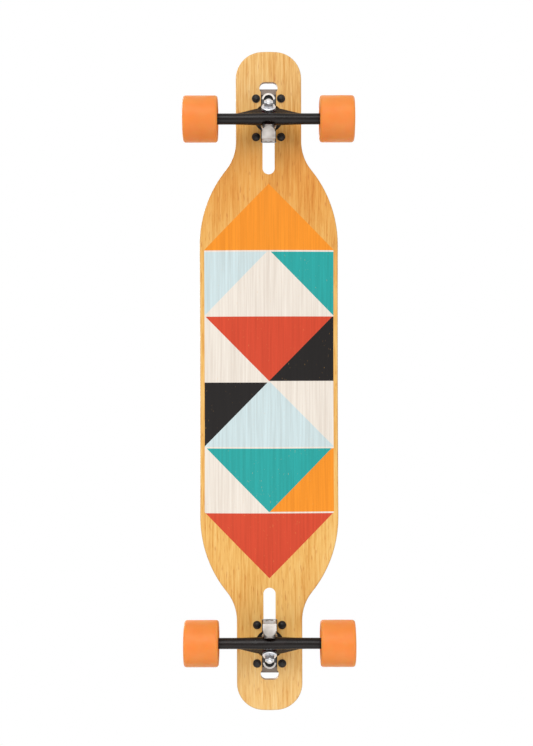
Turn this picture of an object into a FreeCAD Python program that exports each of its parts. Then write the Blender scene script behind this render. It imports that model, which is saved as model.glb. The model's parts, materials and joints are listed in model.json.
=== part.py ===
import FreeCAD, Part
import math
import os

# A drop-through longboard: a bamboo deck on two reverse-kingpin trucks and four urethane wheels.
# The board stands on its wheels: +X is the nose, +Y the left side, +Z up. Sizes are in millimetres.

Vector = FreeCAD.Vector

# Deck
DECK_LENGTH = 1087.0
DECK_WIDTH = 229.0
DECK_THICKNESS = 11.5
NECK_WIDTH = 108.0              # between the wheels
NECK_REACH = 27.7               # from the axle line to where the neck starts to flare
FLARE_OUTER_RADIUS = 197.0      # round shoulder of the standing platform
FLARE_INNER_RADIUS = 75.0       # hollow of the wheel cut-out
NOSE_CORNER_RADIUS = 44.0
NOSE_CROWN_REACH = 150.0        # from the end arc's centre to the corner arcs' centres
CAMBER = 10.0                   # rise of the platform's middle over the truck seats
CONCAVE = 9.0                   # rise of the platform's edges over its middle
FLAT_REACH = 82.0               # from the axle line to where the camber and concave begin
CONCAVE_FADE = 190.0            # length over which the concave grows to its full depth
DECK_EDGE_RADIUS = 3.0
SURFACE_SPAN = 25.0             # spacing of the control points of the deck's top face
GRIP_THICKNESS = 0.9
GRIP_INSET = 3.5                # bare rim of wood around the grip tape
GRIP_SEAM = 2.0                 # from a truck opening to the sheet's plain flat end

# Truck opening in the deck
SLOT_WIDTH = 20.0
SLOT_REACH = 93.0               # from the bolt pattern's centre to the slot's inboard end
OPENING_WIDTH = 25.0            # between the bolts
OPENING_START = 41.0            # from the pattern's centre to where the slot widens
OPENING_BULGE_RADIUS = 24.0
OPENING_END_WIDTH = 30.0
OPENING_END_REACH = 59.0        # from the pattern's centre to the outboard end
OPENING_END_LENGTH = 19.0
OPENING_CORNER_RADIUS = 9.0

# Bolt pattern and its hardware
AXLE_SPACING = 846.0
PATTERN_OFFSET = 11.0           # the pattern's centre lies outboard of the axle
PATTERN_LENGTH = 63.5
PATTERN_WIDTH = 41.3
BOLT_DIAMETER = 4.8
BOLT_CLEARANCE = 0.35
BOLT_HEAD_DIAMETER = 10.6
BOLT_HEAD_HEIGHT = 3.6
BOLT_SOCKET_FLATS = 3.2
BOLT_SOCKET_DEPTH = 1.9
BOLT_END = 1.5                  # bolt standing out of its nut
BOLT_WASHER_DIAMETER = 13.6
BOLT_WASHER_THICKNESS = 1.2
LOCK_NUT_FLATS = 9.5
LOCK_NUT_HEIGHT = 5.6

# Truck geometry, seen from the side
TRUCK_HEIGHT = 70.0             # from the axle to the base plate's upper face
STEERING_ANGLE = 50.0           # of the steering axis to the deck, rising outboard
RAKE = 6.0                      # from the steering axis to the axle
PIVOT_REACH = 20.0              # along the steering axis from the axle to the nose's tip
RING_REACH = 21.0               # along the steering axis from the axle to the ring's centre

# Base plate
PLATE_THICKNESS = 7.0
PLATE_INBOARD_MARGIN = 6.25     # past the bolt row
PLATE_OUTBOARD_MARGIN = 17.75
PLATE_SIDE_MARGIN = 7.35
PLATE_CORNER_RADIUS = 7.0
PLATE_POCKET_DEPTH = 3.0
PLATE_POCKET_RIM = 14.0
BOSS_WIDTH = 22.0
BOSS_TOE_REACH = 53.0           # from the axle to the boss's outboard end
BOSS_TOE_DEPTH = 7.0            # depth of the toe's end below the plate
BOSS_TOE_DROP = 12.0            # depth of the toe's knee below the plate
BOSS_TOE_KNEE = 16.0            # from the axle to the toe's knee
TOE_POCKET_START = 22.0         # from the axle to the pocket in the toe
TOE_RIM = 3.0
TOWER_LEAN = 2.5                # the tower's foot lies this far inboard of the plate's edge
RAMP_RADIUS = 13.0              # half length of the kingpin's ramp
CUP_WALL = 1.7
CUP_FLOOR = 1.6
CUP_MOUTH = 5.0                 # from the nose's tip centre to the cup's mouth
TOWER_WALL = 3.0
TOWER_FLOOR = 2.2
TOWER_SCALLOP = 12.5            # from the axle's middle to the tower's hollowed lip
CUP_LIP = 1.8                   # the cup's lip stands this far out of the tower's

# Hanger
HANGER_LENGTH = 180.0
HANGER_END_DIAMETER = 18.0
HANGER_MID_DIAMETER = 20.4
HANGER_TAPER_REACH = 62.0       # from the middle to where the bar is straight
NOSE_ROOT_RADIUS = 8.5
NOSE_TIP_RADIUS = 5.0
NOSE_CLEARANCE = 0.3
NOSE_NECK = 1.0                 # straight stretch of the nose outside its cup
RING_RADIUS = 17.0
RING_THICKNESS = 13.0
RING_SEAT_DEPTH = 3.0
RING_BORE_RADIUS = 8.0
YOKE_THICKNESS = 8.5
YOKE_HALF_SPAN = 74.0           # half width of the yoke's wings at the bar
YOKE_ROOT = 7.0                 # from the axle to the wings' outer ends
YOKE_SHOULDER_REACH = 10.0      # from the ring's centre outboard to the wings' shoulders
YOKE_SHOULDER_WIDTH = 46.0
YOKE_HOLLOW = 0.6               # how far the yoke's flanks curve in

# Kingpin stack
KINGPIN_DIAMETER = 9.5
KINGPIN_HEAD_FLATS = 14.3
KINGPIN_HEAD_HEIGHT = 6.0
KINGPIN_GRIP = 18.0             # from the ramp to the head's seat
KINGPIN_END = 3.0
HEAD_CLEARANCE = 0.4
BUSHING_RADIUS = 11.0
BUSHING_SEAT_CLEARANCE = 0.4
BUSHING_END_GAP = 0.1
BUSHING_BORE_CLEARANCE = 0.25
BOARDSIDE_BUSHING_HEIGHT = 14.0
ROADSIDE_BUSHING_HEIGHT = 12.0
ROADSIDE_BUSHING_TIP_RADIUS = 9.2
BUSHING_CHAMFER = 1.0
BOARDSIDE_WASHER_RADIUS = 12.5
CUP_WASHER_RADIUS = 11.7
CUP_WASHER_LIP = 2.4
WASHER_THICKNESS = 2.0
KINGPIN_NUT_FLATS = 14.3
KINGPIN_NUT_HEIGHT = 8.5
PRESS_CLEARANCE = 0.03          # between pieces that stay fixed on each other

# Axle, bearings and wheels
AXLE_DIAMETER = 8.0
AXLE_END = 2.0
AXLE_NUT_FLATS = 12.7
AXLE_NUT_HEIGHT = 6.5
SPEED_WASHER_DIAMETER = 11.6
SPEED_WASHER_THICKNESS = 1.0
BEARING_DIAMETER = 22.0
BEARING_WIDTH = 7.0
BEARING_GAP = 10.0              # length of the spacer between two bearings
INNER_RACE_WALL = 2.0
OUTER_RACE_WALL = 2.0
BALL_COUNT = 7
BALL_CLEARANCE = 0.35
BALL_GROOVE_DEPTH = 0.6
CAGE_WIDTH = 1.2
CAGE_THICKNESS = 0.6
CAGE_GAP = 0.2
SHIELD_THICKNESS = 0.4
SHIELD_INSET = 0.2
SHIELD_CLEARANCE = 0.4
SPACER_WALL = 1.4
WHEEL_DIAMETER = 75.0
WHEEL_WIDTH = 56.0
WHEEL_OFFSET = 7.0              # the tyre's middle lies outboard of the bearings' middle
WHEEL_LIP_RADIUS = 4.5
WHEEL_FACE_DEPTH = 5.0          # drop of the tyre's side from its lip to the core's rim
CORE_RADIUS = 21.5
CORE_WIDTH = 30.0
CORE_RIM = 2.5
CORE_HUB_WALL = 2.6
CORE_WEB = 6.0
CORE_SHOULDER = 1.4             # ledge that a bearing seats against
SPOKE_COUNT = 10
SPOKE_WIDTH = 2.4

# Places worked out from the driving dimensions
AXLE_X = AXLE_SPACING / 2
AXLE_Z = WHEEL_DIAMETER / 2
PLATE_LOW = TRUCK_HEIGHT - PLATE_THICKNESS
DECK_TOP_Z = AXLE_Z + PLATE_LOW - GRIP_THICKNESS
DECK_LOW_Z = DECK_TOP_Z - DECK_THICKNESS
PATTERN_X = AXLE_X + PATTERN_OFFSET
HALF_PATTERN = PATTERN_LENGTH / 2
TILT = math.radians(STEERING_ANGLE)
RISE = Vector(math.cos(TILT), 0, math.sin(TILT))        # along the steering axis, outboard and up
REACH = Vector(math.sin(TILT), 0, -math.cos(TILT))      # along the kingpin, outboard and down
SIDE = Vector(0, 1, 0)
AXIS_FOOT = REACH * -RAKE                               # point of the steering axis nearest the axle
PIVOT = AXIS_FOOT - RISE * PIVOT_REACH
RING = AXIS_FOOT + RISE * RING_REACH

# Stations along the kingpin, counted from the ring's middle towards the nut
SEAT_FLOOR = RING_THICKNESS / 2 - RING_SEAT_DEPTH
BUSHING_START = SEAT_FLOOR + BUSHING_END_GAP
RAMP_STATION = -(BUSHING_START + BOARDSIDE_BUSHING_HEIGHT + WASHER_THICKNESS)
HEAD_STATION = RAMP_STATION - KINGPIN_GRIP
CUP_WASHER_STATION = BUSHING_START + ROADSIDE_BUSHING_HEIGHT
NUT_STATION = CUP_WASHER_STATION + WASHER_THICKNESS
KINGPIN_TIP = NUT_STATION + KINGPIN_NUT_HEIGHT + KINGPIN_END

# Stations along the axle, counted from the truck's middle
INNER_WASHER_Y = HANGER_LENGTH / 2
INNER_BEARING_Y = INNER_WASHER_Y + SPEED_WASHER_THICKNESS
SPACER_Y = INNER_BEARING_Y + BEARING_WIDTH
OUTER_BEARING_Y = SPACER_Y + BEARING_GAP
OUTER_WASHER_Y = OUTER_BEARING_Y + BEARING_WIDTH
AXLE_NUT_Y = OUTER_WASHER_Y + SPEED_WASHER_THICKNESS
AXLE_TIP_Y = AXLE_NUT_Y + AXLE_NUT_HEIGHT + AXLE_END
CORE_Y = SPACER_Y + BEARING_GAP / 2
TYRE_Y = CORE_Y + WHEEL_OFFSET


# Shapes that many pieces share

def polygon_face(points):
    """Flat face inside a closed run of straight edges."""
    return Part.Face(Part.makePolygon(points + points[:1]))


def turned(profile):
    """Solid turned about Z from (radius, height) corners."""
    face = polygon_face([Vector(radius, 0, height) for radius, height in profile])
    return face.revolve(Vector(0, 0, 0), Vector(0, 0, 1), 360)


def tube(outer, inner, low, high):
    """Hollow cylinder about Z between two heights."""
    body = Part.makeCylinder(outer, high - low, Vector(0, 0, low))
    return body.cut(Part.makeCylinder(inner, high - low, Vector(0, 0, low)))


def hexagon(flats, low, high):
    """Hexagonal prism about Z, by its width across flats."""
    corner = flats / 2 / math.cos(math.pi / 6)
    turns = [math.radians(60 * step) for step in range(6)]
    points = [Vector(corner * math.cos(turn), corner * math.sin(turn), low) for turn in turns]
    return polygon_face(points).extrude(Vector(0, 0, high - low))


def hex_nut(flats, bore, low, high):
    """Hexagonal nut about Z with its corners turned down at both ends."""
    corner = flats / 2 / math.cos(math.pi / 6)
    bevel = (corner - flats / 2) * 0.6
    blank = turned([(0, low), (flats / 2, low), (corner, low + bevel), (corner, high - bevel),
                    (flats / 2, high), (0, high)])
    nut = hexagon(flats, low, high).common(blank)
    return nut.cut(Part.makeCylinder(bore, high - low, Vector(0, 0, low)))


def laid(shape, origin, x_axis, z_axis):
    """Copy of a shape modelled about Z, laid with its Z along z_axis from the origin."""
    turn = FreeCAD.Rotation(x_axis, z_axis.cross(x_axis), z_axis, "XYZ")
    copy = shape.copy()
    copy.Placement = FreeCAD.Placement(origin, turn).multiply(copy.Placement)
    return copy


def on_kingpin(shape):
    """Lay a shape along the kingpin, with its zero at the ring's middle."""
    return laid(shape, RING, RISE * -1, REACH)


def on_pivot(shape):
    """Lay a shape along the steering axis, with its zero at the nose's tip centre."""
    return laid(shape, PIVOT, REACH, RISE)


def on_axle(shape):
    """Lay a shape along the axle's left half, with its zero at the truck's middle."""
    return laid(shape, Vector(0, 0, 0), Vector(1, 0, 0), SIDE)


def both_sides(shape):
    """A left-hand piece and its right-hand twin as two solids."""
    twin = shape.copy()
    twin.rotate(Vector(0, 0, 0), Vector(0, 0, 1), 180)
    return Part.makeCompound([shape, twin])


def placed(shape, end):
    """Set a truck piece under the nose (end 1) or the tail (end -1)."""
    copy = shape.copy()
    if end < 0:
        copy.rotate(Vector(0, 0, 0), Vector(0, 0, 1), 180)
    copy.translate(Vector(end * AXLE_X, 0, AXLE_Z))
    return copy


def pattern_points(height):
    """Bolt centres of both trucks at one height."""
    return [Vector(end * (PATTERN_X + row * HALF_PATTERN), side * PATTERN_WIDTH / 2, height)
            for end in (1, -1) for row in (1, -1) for side in (1, -1)]


# Deck and grip tape

def deck_outline():
    """Closed wire of the deck's plan: platform, round shoulders, necks and rounded ends."""
    half_width = DECK_WIDTH / 2
    half_neck = NECK_WIDTH / 2
    flare_radii = FLARE_OUTER_RADIUS + FLARE_INNER_RADIUS
    turn = math.acos(1 - (half_width - half_neck) / flare_radii)
    neck_x = AXLE_X - NECK_REACH
    flare_x = neck_x - flare_radii * math.sin(turn)
    half_corner = half_neck - NOSE_CORNER_RADIUS
    end_radius = NOSE_CORNER_RADIUS + math.hypot(half_corner, NOSE_CROWN_REACH)
    end_x = DECK_LENGTH / 2 - end_radius
    corner_x = end_x + NOSE_CROWN_REACH
    corner_turn = math.atan2(half_corner, NOSE_CROWN_REACH)
    corner_mid = (math.pi / 2 + corner_turn) / 2

    shoulder = Vector(flare_x, half_width)
    shoulder_mid = Vector(flare_x + FLARE_OUTER_RADIUS * math.sin(turn / 2),
                          half_width - FLARE_OUTER_RADIUS * (1 - math.cos(turn / 2)))
    inflection = Vector(flare_x + FLARE_OUTER_RADIUS * math.sin(turn),
                        half_width - FLARE_OUTER_RADIUS * (1 - math.cos(turn)))
    hollow_mid = Vector(neck_x - FLARE_INNER_RADIUS * math.sin(turn / 2),
                        half_neck + FLARE_INNER_RADIUS * (1 - math.cos(turn / 2)))
    neck = Vector(neck_x, half_neck)
    corner = Vector(corner_x, half_neck)
    corner_bend = Vector(corner_x + NOSE_CORNER_RADIUS * math.cos(corner_mid),
                         half_corner + NOSE_CORNER_RADIUS * math.sin(corner_mid))
    crown = Vector(end_x + end_radius * math.cos(corner_turn), end_radius * math.sin(corner_turn))
    tip = Vector(DECK_LENGTH / 2, 0)

    def flipped(point, end, side):
        return Vector(end * point.x, side * point.y)

    edges = []
    for end in (1, -1):
        edges.append(Part.Arc(flipped(crown, end, 1), tip * end, flipped(crown, end, -1)))
        for side in (1, -1):
            spots = [flipped(spot, end, side) for spot in
                     (shoulder, shoulder_mid, inflection, hollow_mid, neck, corner, corner_bend, crown)]
            edges.append(Part.Arc(spots[0], spots[1], spots[2]))
            edges.append(Part.Arc(spots[2], spots[3], spots[4]))
            edges.append(Part.LineSegment(spots[4], spots[5]))
            edges.append(Part.Arc(spots[5], spots[6], spots[7]))
    for side in (1, -1):
        edges.append(Part.LineSegment(flipped(shoulder, 1, side), flipped(shoulder, -1, side)))
    shapes = [edge.toShape() for edge in edges]
    return Part.Wire(Part.__sortEdges__(shapes))


def deck_top_face():
    """Top face of the deck as a smooth surface: flat at the trucks, cambered and hollow between."""
    flat_x = AXLE_X - FLAT_REACH
    half_length = DECK_LENGTH / 2 + SURFACE_SPAN
    half_width = DECK_WIDTH / 2 + SURFACE_SPAN
    spans = max(8, round(2 * half_length / SURFACE_SPAN))
    knots = [half_length * (2 * step / spans - 1) for step in range(spans + 1)]
    clamped = knots[:1] * 3 + knots + knots[-1:] * 3
    stations = [sum(clamped[step + 1:step + 4]) / 3 for step in range(spans + 3)]

    def eased(share):
        return (1 - math.cos(math.pi * min(1, max(0, share)))) / 2

    poles = []
    for x in stations:
        inset = flat_x - abs(x)
        arch = CAMBER * eased(inset / flat_x)
        hollow = CONCAVE * eased(inset / CONCAVE_FADE) * (2 * half_width / DECK_WIDTH) ** 2
        poles.append([Vector(x, -half_width, DECK_TOP_Z + arch + hollow),
                      Vector(x, 0, DECK_TOP_Z + arch - hollow),
                      Vector(x, half_width, DECK_TOP_Z + arch + hollow)])
    surface = Part.BSplineSurface()
    surface.buildFromPolesMultsKnots(poles, [4] + [1] * (spans - 1) + [4], [3, 3],
                                     knots, [0, 1], False, False, 3, 2)
    return surface.toShape()


def prism(wire):
    """Upright block inside a wire, tall enough to hold the whole deck."""
    low = DECK_LOW_Z - DECK_THICKNESS
    high = DECK_TOP_Z + CAMBER + CONCAVE + DECK_THICKNESS
    block = Part.Face(wire).extrude(Vector(0, 0, high - low))
    block.translate(Vector(0, 0, low))
    return block


def truck_opening(end):
    """Cutting tool for one truck opening: slot, widened stretch, round bulge and rounded end."""
    low = DECK_LOW_Z - DECK_THICKNESS
    depth = DECK_TOP_Z + DECK_THICKNESS - low
    slot_x = SLOT_REACH - SLOT_WIDTH / 2
    slot = Part.makeBox(slot_x, SLOT_WIDTH, depth, Vector(-slot_x, -SLOT_WIDTH / 2, low))
    slot_end = Part.makeCylinder(SLOT_WIDTH / 2, depth, Vector(-slot_x, 0, low))
    wide = Part.makeBox(OPENING_START + OPENING_END_REACH - OPENING_CORNER_RADIUS, OPENING_WIDTH, depth,
                        Vector(-OPENING_START, -OPENING_WIDTH / 2, low))
    bulge = Part.makeCylinder(OPENING_BULGE_RADIUS, depth, Vector(0, 0, low))
    toe = Part.makeBox(OPENING_END_LENGTH, OPENING_END_WIDTH, depth,
                       Vector(OPENING_END_REACH - OPENING_END_LENGTH, -OPENING_END_WIDTH / 2, low))
    uprights = [edge for edge in toe.Edges if abs(edge.BoundBox.ZLength - depth) < 0.01]
    toe = toe.makeFillet(OPENING_CORNER_RADIUS, uprights)
    tool = slot.multiFuse([slot_end, wide, bulge, toe]).removeSplitter()
    if end < 0:
        tool.rotate(Vector(0, 0, 0), Vector(0, 0, 1), 180)
    tool.translate(Vector(end * PATTERN_X, 0, 0))
    return tool


def deck_cuts():
    """Truck openings and bolt holes that pass through the deck and the grip tape."""
    low = DECK_LOW_Z - DECK_THICKNESS
    depth = DECK_TOP_Z + DECK_THICKNESS - low
    hole_radius = BOLT_DIAMETER / 2 + BOLT_CLEARANCE
    holes = [Part.makeCylinder(hole_radius, depth, point) for point in pattern_points(low)]
    return [truck_opening(1), truck_opening(-1)] + holes


def with_plain_ends(sheet, level_x, low, thickness):
    """Lay plain flat pieces in place of a sheet's ends, past a line from which its top face is level."""
    half_length = DECK_LENGTH / 2 + SURFACE_SPAN
    half_width = DECK_WIDTH / 2 + SURFACE_SPAN
    middle = Part.makeBox(2 * level_x, 2 * half_width, 2 * TRUCK_HEIGHT,
                          Vector(-level_x, -half_width, AXLE_Z))
    ends = [Part.makeBox(half_length - level_x, 2 * half_width, thickness, Vector(x, -half_width, low))
            for x in (level_x, -half_length)]
    return sheet.common(middle).multiFuse(ends)


def make_deck():
    """Bamboo board with eased edges, truck openings and bolt holes."""
    slab = deck_top_face().extrude(Vector(0, 0, -DECK_THICKNESS))
    level_x = AXLE_X - FLAT_REACH + 2 * SURFACE_SPAN
    slab = with_plain_ends(slab, level_x, DECK_LOW_Z, DECK_THICKNESS)
    board = slab.common(prism(deck_outline()))
    rims = [edge for edge in board.Edges if edge.BoundBox.XLength > DECK_EDGE_RADIUS
            and edge.BoundBox.ZLength < DECK_THICKNESS * 0.9]
    board = board.makeFillet(DECK_EDGE_RADIUS, rims)
    return board.cut(deck_cuts())


def make_grip_tape():
    """Abrasive sheet on the deck's top face, cut out at the openings and bolts."""
    sheet = deck_top_face().extrude(Vector(0, 0, GRIP_THICKNESS))
    level_x = PATTERN_X + OPENING_END_REACH + GRIP_SEAM
    sheet = with_plain_ends(sheet, level_x, DECK_TOP_Z, GRIP_THICKNESS)
    outline = Part.Face(deck_outline()).makeOffset2D(-GRIP_INSET)
    return sheet.common(prism(outline.Wires[0])).cut(deck_cuts())


# Bolts that hold the trucks to the deck

def make_mounting_bolts():
    """Round-headed bolts that come up from under the deck."""
    seat = -BOLT_WASHER_THICKNESS
    radius = BOLT_HEAD_DIAMETER / 2
    top = DECK_THICKNESS + GRIP_THICKNESS + PLATE_THICKNESS + LOCK_NUT_HEIGHT + BOLT_END
    shoulder = seat - BOLT_HEAD_HEIGHT * 0.35
    crown = seat - BOLT_HEAD_HEIGHT
    head_arc = Part.Arc(Vector(radius, 0, shoulder),
                        Vector(radius * 0.72, 0, shoulder + (crown - shoulder) * 0.78), Vector(0, 0, crown))
    outline = [Vector(0, 0, crown), Vector(0, 0, top), Vector(BOLT_DIAMETER / 2, 0, top),
               Vector(BOLT_DIAMETER / 2, 0, seat), Vector(radius, 0, seat), Vector(radius, 0, shoulder)]
    face = Part.Face(Part.Wire(Part.__sortEdges__([head_arc.toShape()] + Part.makePolygon(outline).Edges)))
    bolt = face.revolve(Vector(0, 0, 0), Vector(0, 0, 1), 360)
    bolt = bolt.cut(hexagon(BOLT_SOCKET_FLATS, crown, crown + BOLT_SOCKET_DEPTH))
    return group_at_bolts(bolt)


def make_mounting_washers():
    """Flat washers between the bolt heads and the deck."""
    bore = BOLT_DIAMETER / 2 + BOLT_CLEARANCE
    return group_at_bolts(tube(BOLT_WASHER_DIAMETER / 2, bore, -BOLT_WASHER_THICKNESS, 0))


def make_lock_nuts():
    """Lock nuts on top of the base plates."""
    seat = DECK_THICKNESS + GRIP_THICKNESS + PLATE_THICKNESS
    bore = BOLT_DIAMETER / 2 + PRESS_CLEARANCE
    return group_at_bolts(hex_nut(LOCK_NUT_FLATS, bore, seat, seat + LOCK_NUT_HEIGHT))


def group_at_bolts(shape):
    """Copies of a piece at every bolt, with its zero on the deck's underside."""
    copies = []
    for point in pattern_points(DECK_LOW_Z):
        copy = shape.copy()
        copy.translate(point)
        copies.append(copy)
    return Part.makeCompound(copies)


# Truck pieces, modelled about the axle's middle with +X outboard

def lip_room(radius):
    """Upright room about the axle's middle and below it, that hollows the tower's lip."""
    return Part.makeCylinder(radius, TRUCK_HEIGHT, Vector(0, 0, -TRUCK_HEIGHT))


def make_baseplate():
    """Cast plate with its kingpin ramp, pivot tower, cup bore, kingpin bore and hollow toe."""
    inboard = PATTERN_OFFSET - HALF_PATTERN - PLATE_INBOARD_MARGIN
    outboard = PATTERN_OFFSET + HALF_PATTERN + PLATE_OUTBOARD_MARGIN
    width = PATTERN_WIDTH + 2 * PLATE_SIDE_MARGIN
    flange = Part.makeBox(outboard - inboard, width, PLATE_THICKNESS,
                          Vector(inboard, -width / 2, PLATE_LOW))
    uprights = [edge for edge in flange.Edges if abs(edge.BoundBox.ZLength - PLATE_THICKNESS) < 0.01]
    flange = flange.makeFillet(PLATE_CORNER_RADIUS, uprights)

    bore_radius = NOSE_TIP_RADIUS + NOSE_CLEARANCE + CUP_WALL
    tower_radius = bore_radius + TOWER_WALL
    cup_low = -(NOSE_TIP_RADIUS + NOSE_CLEARANCE + CUP_FLOOR)
    tower_low = cup_low - TOWER_FLOOR
    ramp = RING + REACH * RAMP_STATION
    profile = [Vector(inboard, 0, PLATE_LOW + PLATE_THICKNESS / 2),
               PIVOT + RISE * tower_low - REACH * tower_radius - Vector(TOWER_LEAN, 0, 0),
               PIVOT + RISE * tower_low,
               PIVOT + RISE * CUP_MOUTH - REACH * bore_radius,
               PIVOT + RISE * CUP_MOUTH - REACH * tower_radius,
               ramp - RISE * RAMP_RADIUS,
               ramp + RISE * RAMP_RADIUS,
               Vector(BOSS_TOE_KNEE, 0, PLATE_LOW - BOSS_TOE_DROP),
               Vector(BOSS_TOE_REACH, 0, PLATE_LOW - BOSS_TOE_DEPTH),
               Vector(BOSS_TOE_REACH, 0, PLATE_LOW + PLATE_THICKNESS / 2)]
    boss = polygon_face(profile).extrude(SIDE * BOSS_WIDTH)
    boss.translate(SIDE * (-BOSS_WIDTH / 2))
    toe_x = BOSS_TOE_REACH - BOSS_WIDTH / 2
    toe_round = Part.makeCylinder(BOSS_WIDTH / 2, TRUCK_HEIGHT * 2, Vector(toe_x, 0, -TRUCK_HEIGHT))
    toe_block = Part.makeBox(TRUCK_HEIGHT * 2, BOSS_WIDTH, TRUCK_HEIGHT * 2,
                             Vector(toe_x - TRUCK_HEIGHT * 2, -BOSS_WIDTH / 2, -TRUCK_HEIGHT))
    boss = boss.common(toe_block.fuse(toe_round))
    tower = on_pivot(Part.makeCylinder(tower_radius, CUP_MOUTH - tower_low, Vector(0, 0, tower_low)))
    plate = flange.multiFuse([boss, tower])

    cup_bore = on_pivot(Part.makeCylinder(bore_radius, CUP_MOUTH - cup_low, Vector(0, 0, cup_low)))
    pin_bore = on_kingpin(Part.makeCylinder(KINGPIN_DIAMETER / 2 + PRESS_CLEARANCE,
                                            KINGPIN_GRIP * 2, Vector(0, 0, HEAD_STATION)))
    head_radius = KINGPIN_HEAD_FLATS / 2 / math.cos(math.pi / 6) + HEAD_CLEARANCE
    head_bore = on_kingpin(Part.makeCylinder(head_radius, TRUCK_HEIGHT,
                                             Vector(0, 0, HEAD_STATION - TRUCK_HEIGHT)))
    head_room = Part.makeBox(TRUCK_HEIGHT * 2, width, TRUCK_HEIGHT * 2,
                             Vector(-TRUCK_HEIGHT, -width / 2, PLATE_LOW - TRUCK_HEIGHT * 2))
    toe_radius = BOSS_WIDTH / 2 - TOE_RIM
    toe_pocket = Part.makeBox(toe_x - TOE_POCKET_START, 2 * toe_radius, PLATE_LOW,
                              Vector(TOE_POCKET_START, -toe_radius, 0))
    toe_pocket = toe_pocket.fuse(Part.makeCylinder(toe_radius, PLATE_LOW, Vector(toe_x, 0, 0)))
    cuts = [cup_bore, pin_bore, head_bore.common(head_room), toe_pocket, lip_room(TOWER_SCALLOP)]
    hole_radius = BOLT_DIAMETER / 2 + BOLT_CLEARANCE
    for row in (1, -1):
        for side in (1, -1):
            spot = Vector(PATTERN_OFFSET + row * HALF_PATTERN, side * PATTERN_WIDTH / 2, PLATE_LOW)
            cuts.append(Part.makeCylinder(hole_radius, PLATE_THICKNESS, spot))
    pocket_length = outboard - inboard - 2 * PLATE_POCKET_RIM
    pocket_width = PATTERN_WIDTH - 2 * PLATE_POCKET_RIM / 2
    pocket = Part.makeBox(pocket_length, pocket_width, PLATE_POCKET_DEPTH,
                          Vector(inboard + PLATE_POCKET_RIM, -pocket_width / 2,
                                 TRUCK_HEIGHT - PLATE_POCKET_DEPTH))
    corners = [edge for edge in pocket.Edges if abs(edge.BoundBox.ZLength - PLATE_POCKET_DEPTH) < 0.01]
    cuts.append(pocket.makeFillet(PLATE_CORNER_RADIUS, corners))
    return plate.cut(cuts).removeSplitter()


def make_pivot_cup():
    """Soft cup in the tower with a round floor for the hanger's nose."""
    inner = NOSE_TIP_RADIUS + NOSE_CLEARANCE
    outer = inner + CUP_WALL - PRESS_CLEARANCE
    low = -(inner + CUP_FLOOR) + PRESS_CLEARANCE
    cup = Part.makeCylinder(outer, CUP_MOUTH - low, Vector(0, 0, low))
    room = Part.makeSphere(inner).fuse(Part.makeCylinder(inner, CUP_MOUTH))
    return on_pivot(cup.cut(room)).cut(lip_room(TOWER_SCALLOP - CUP_LIP))


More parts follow.
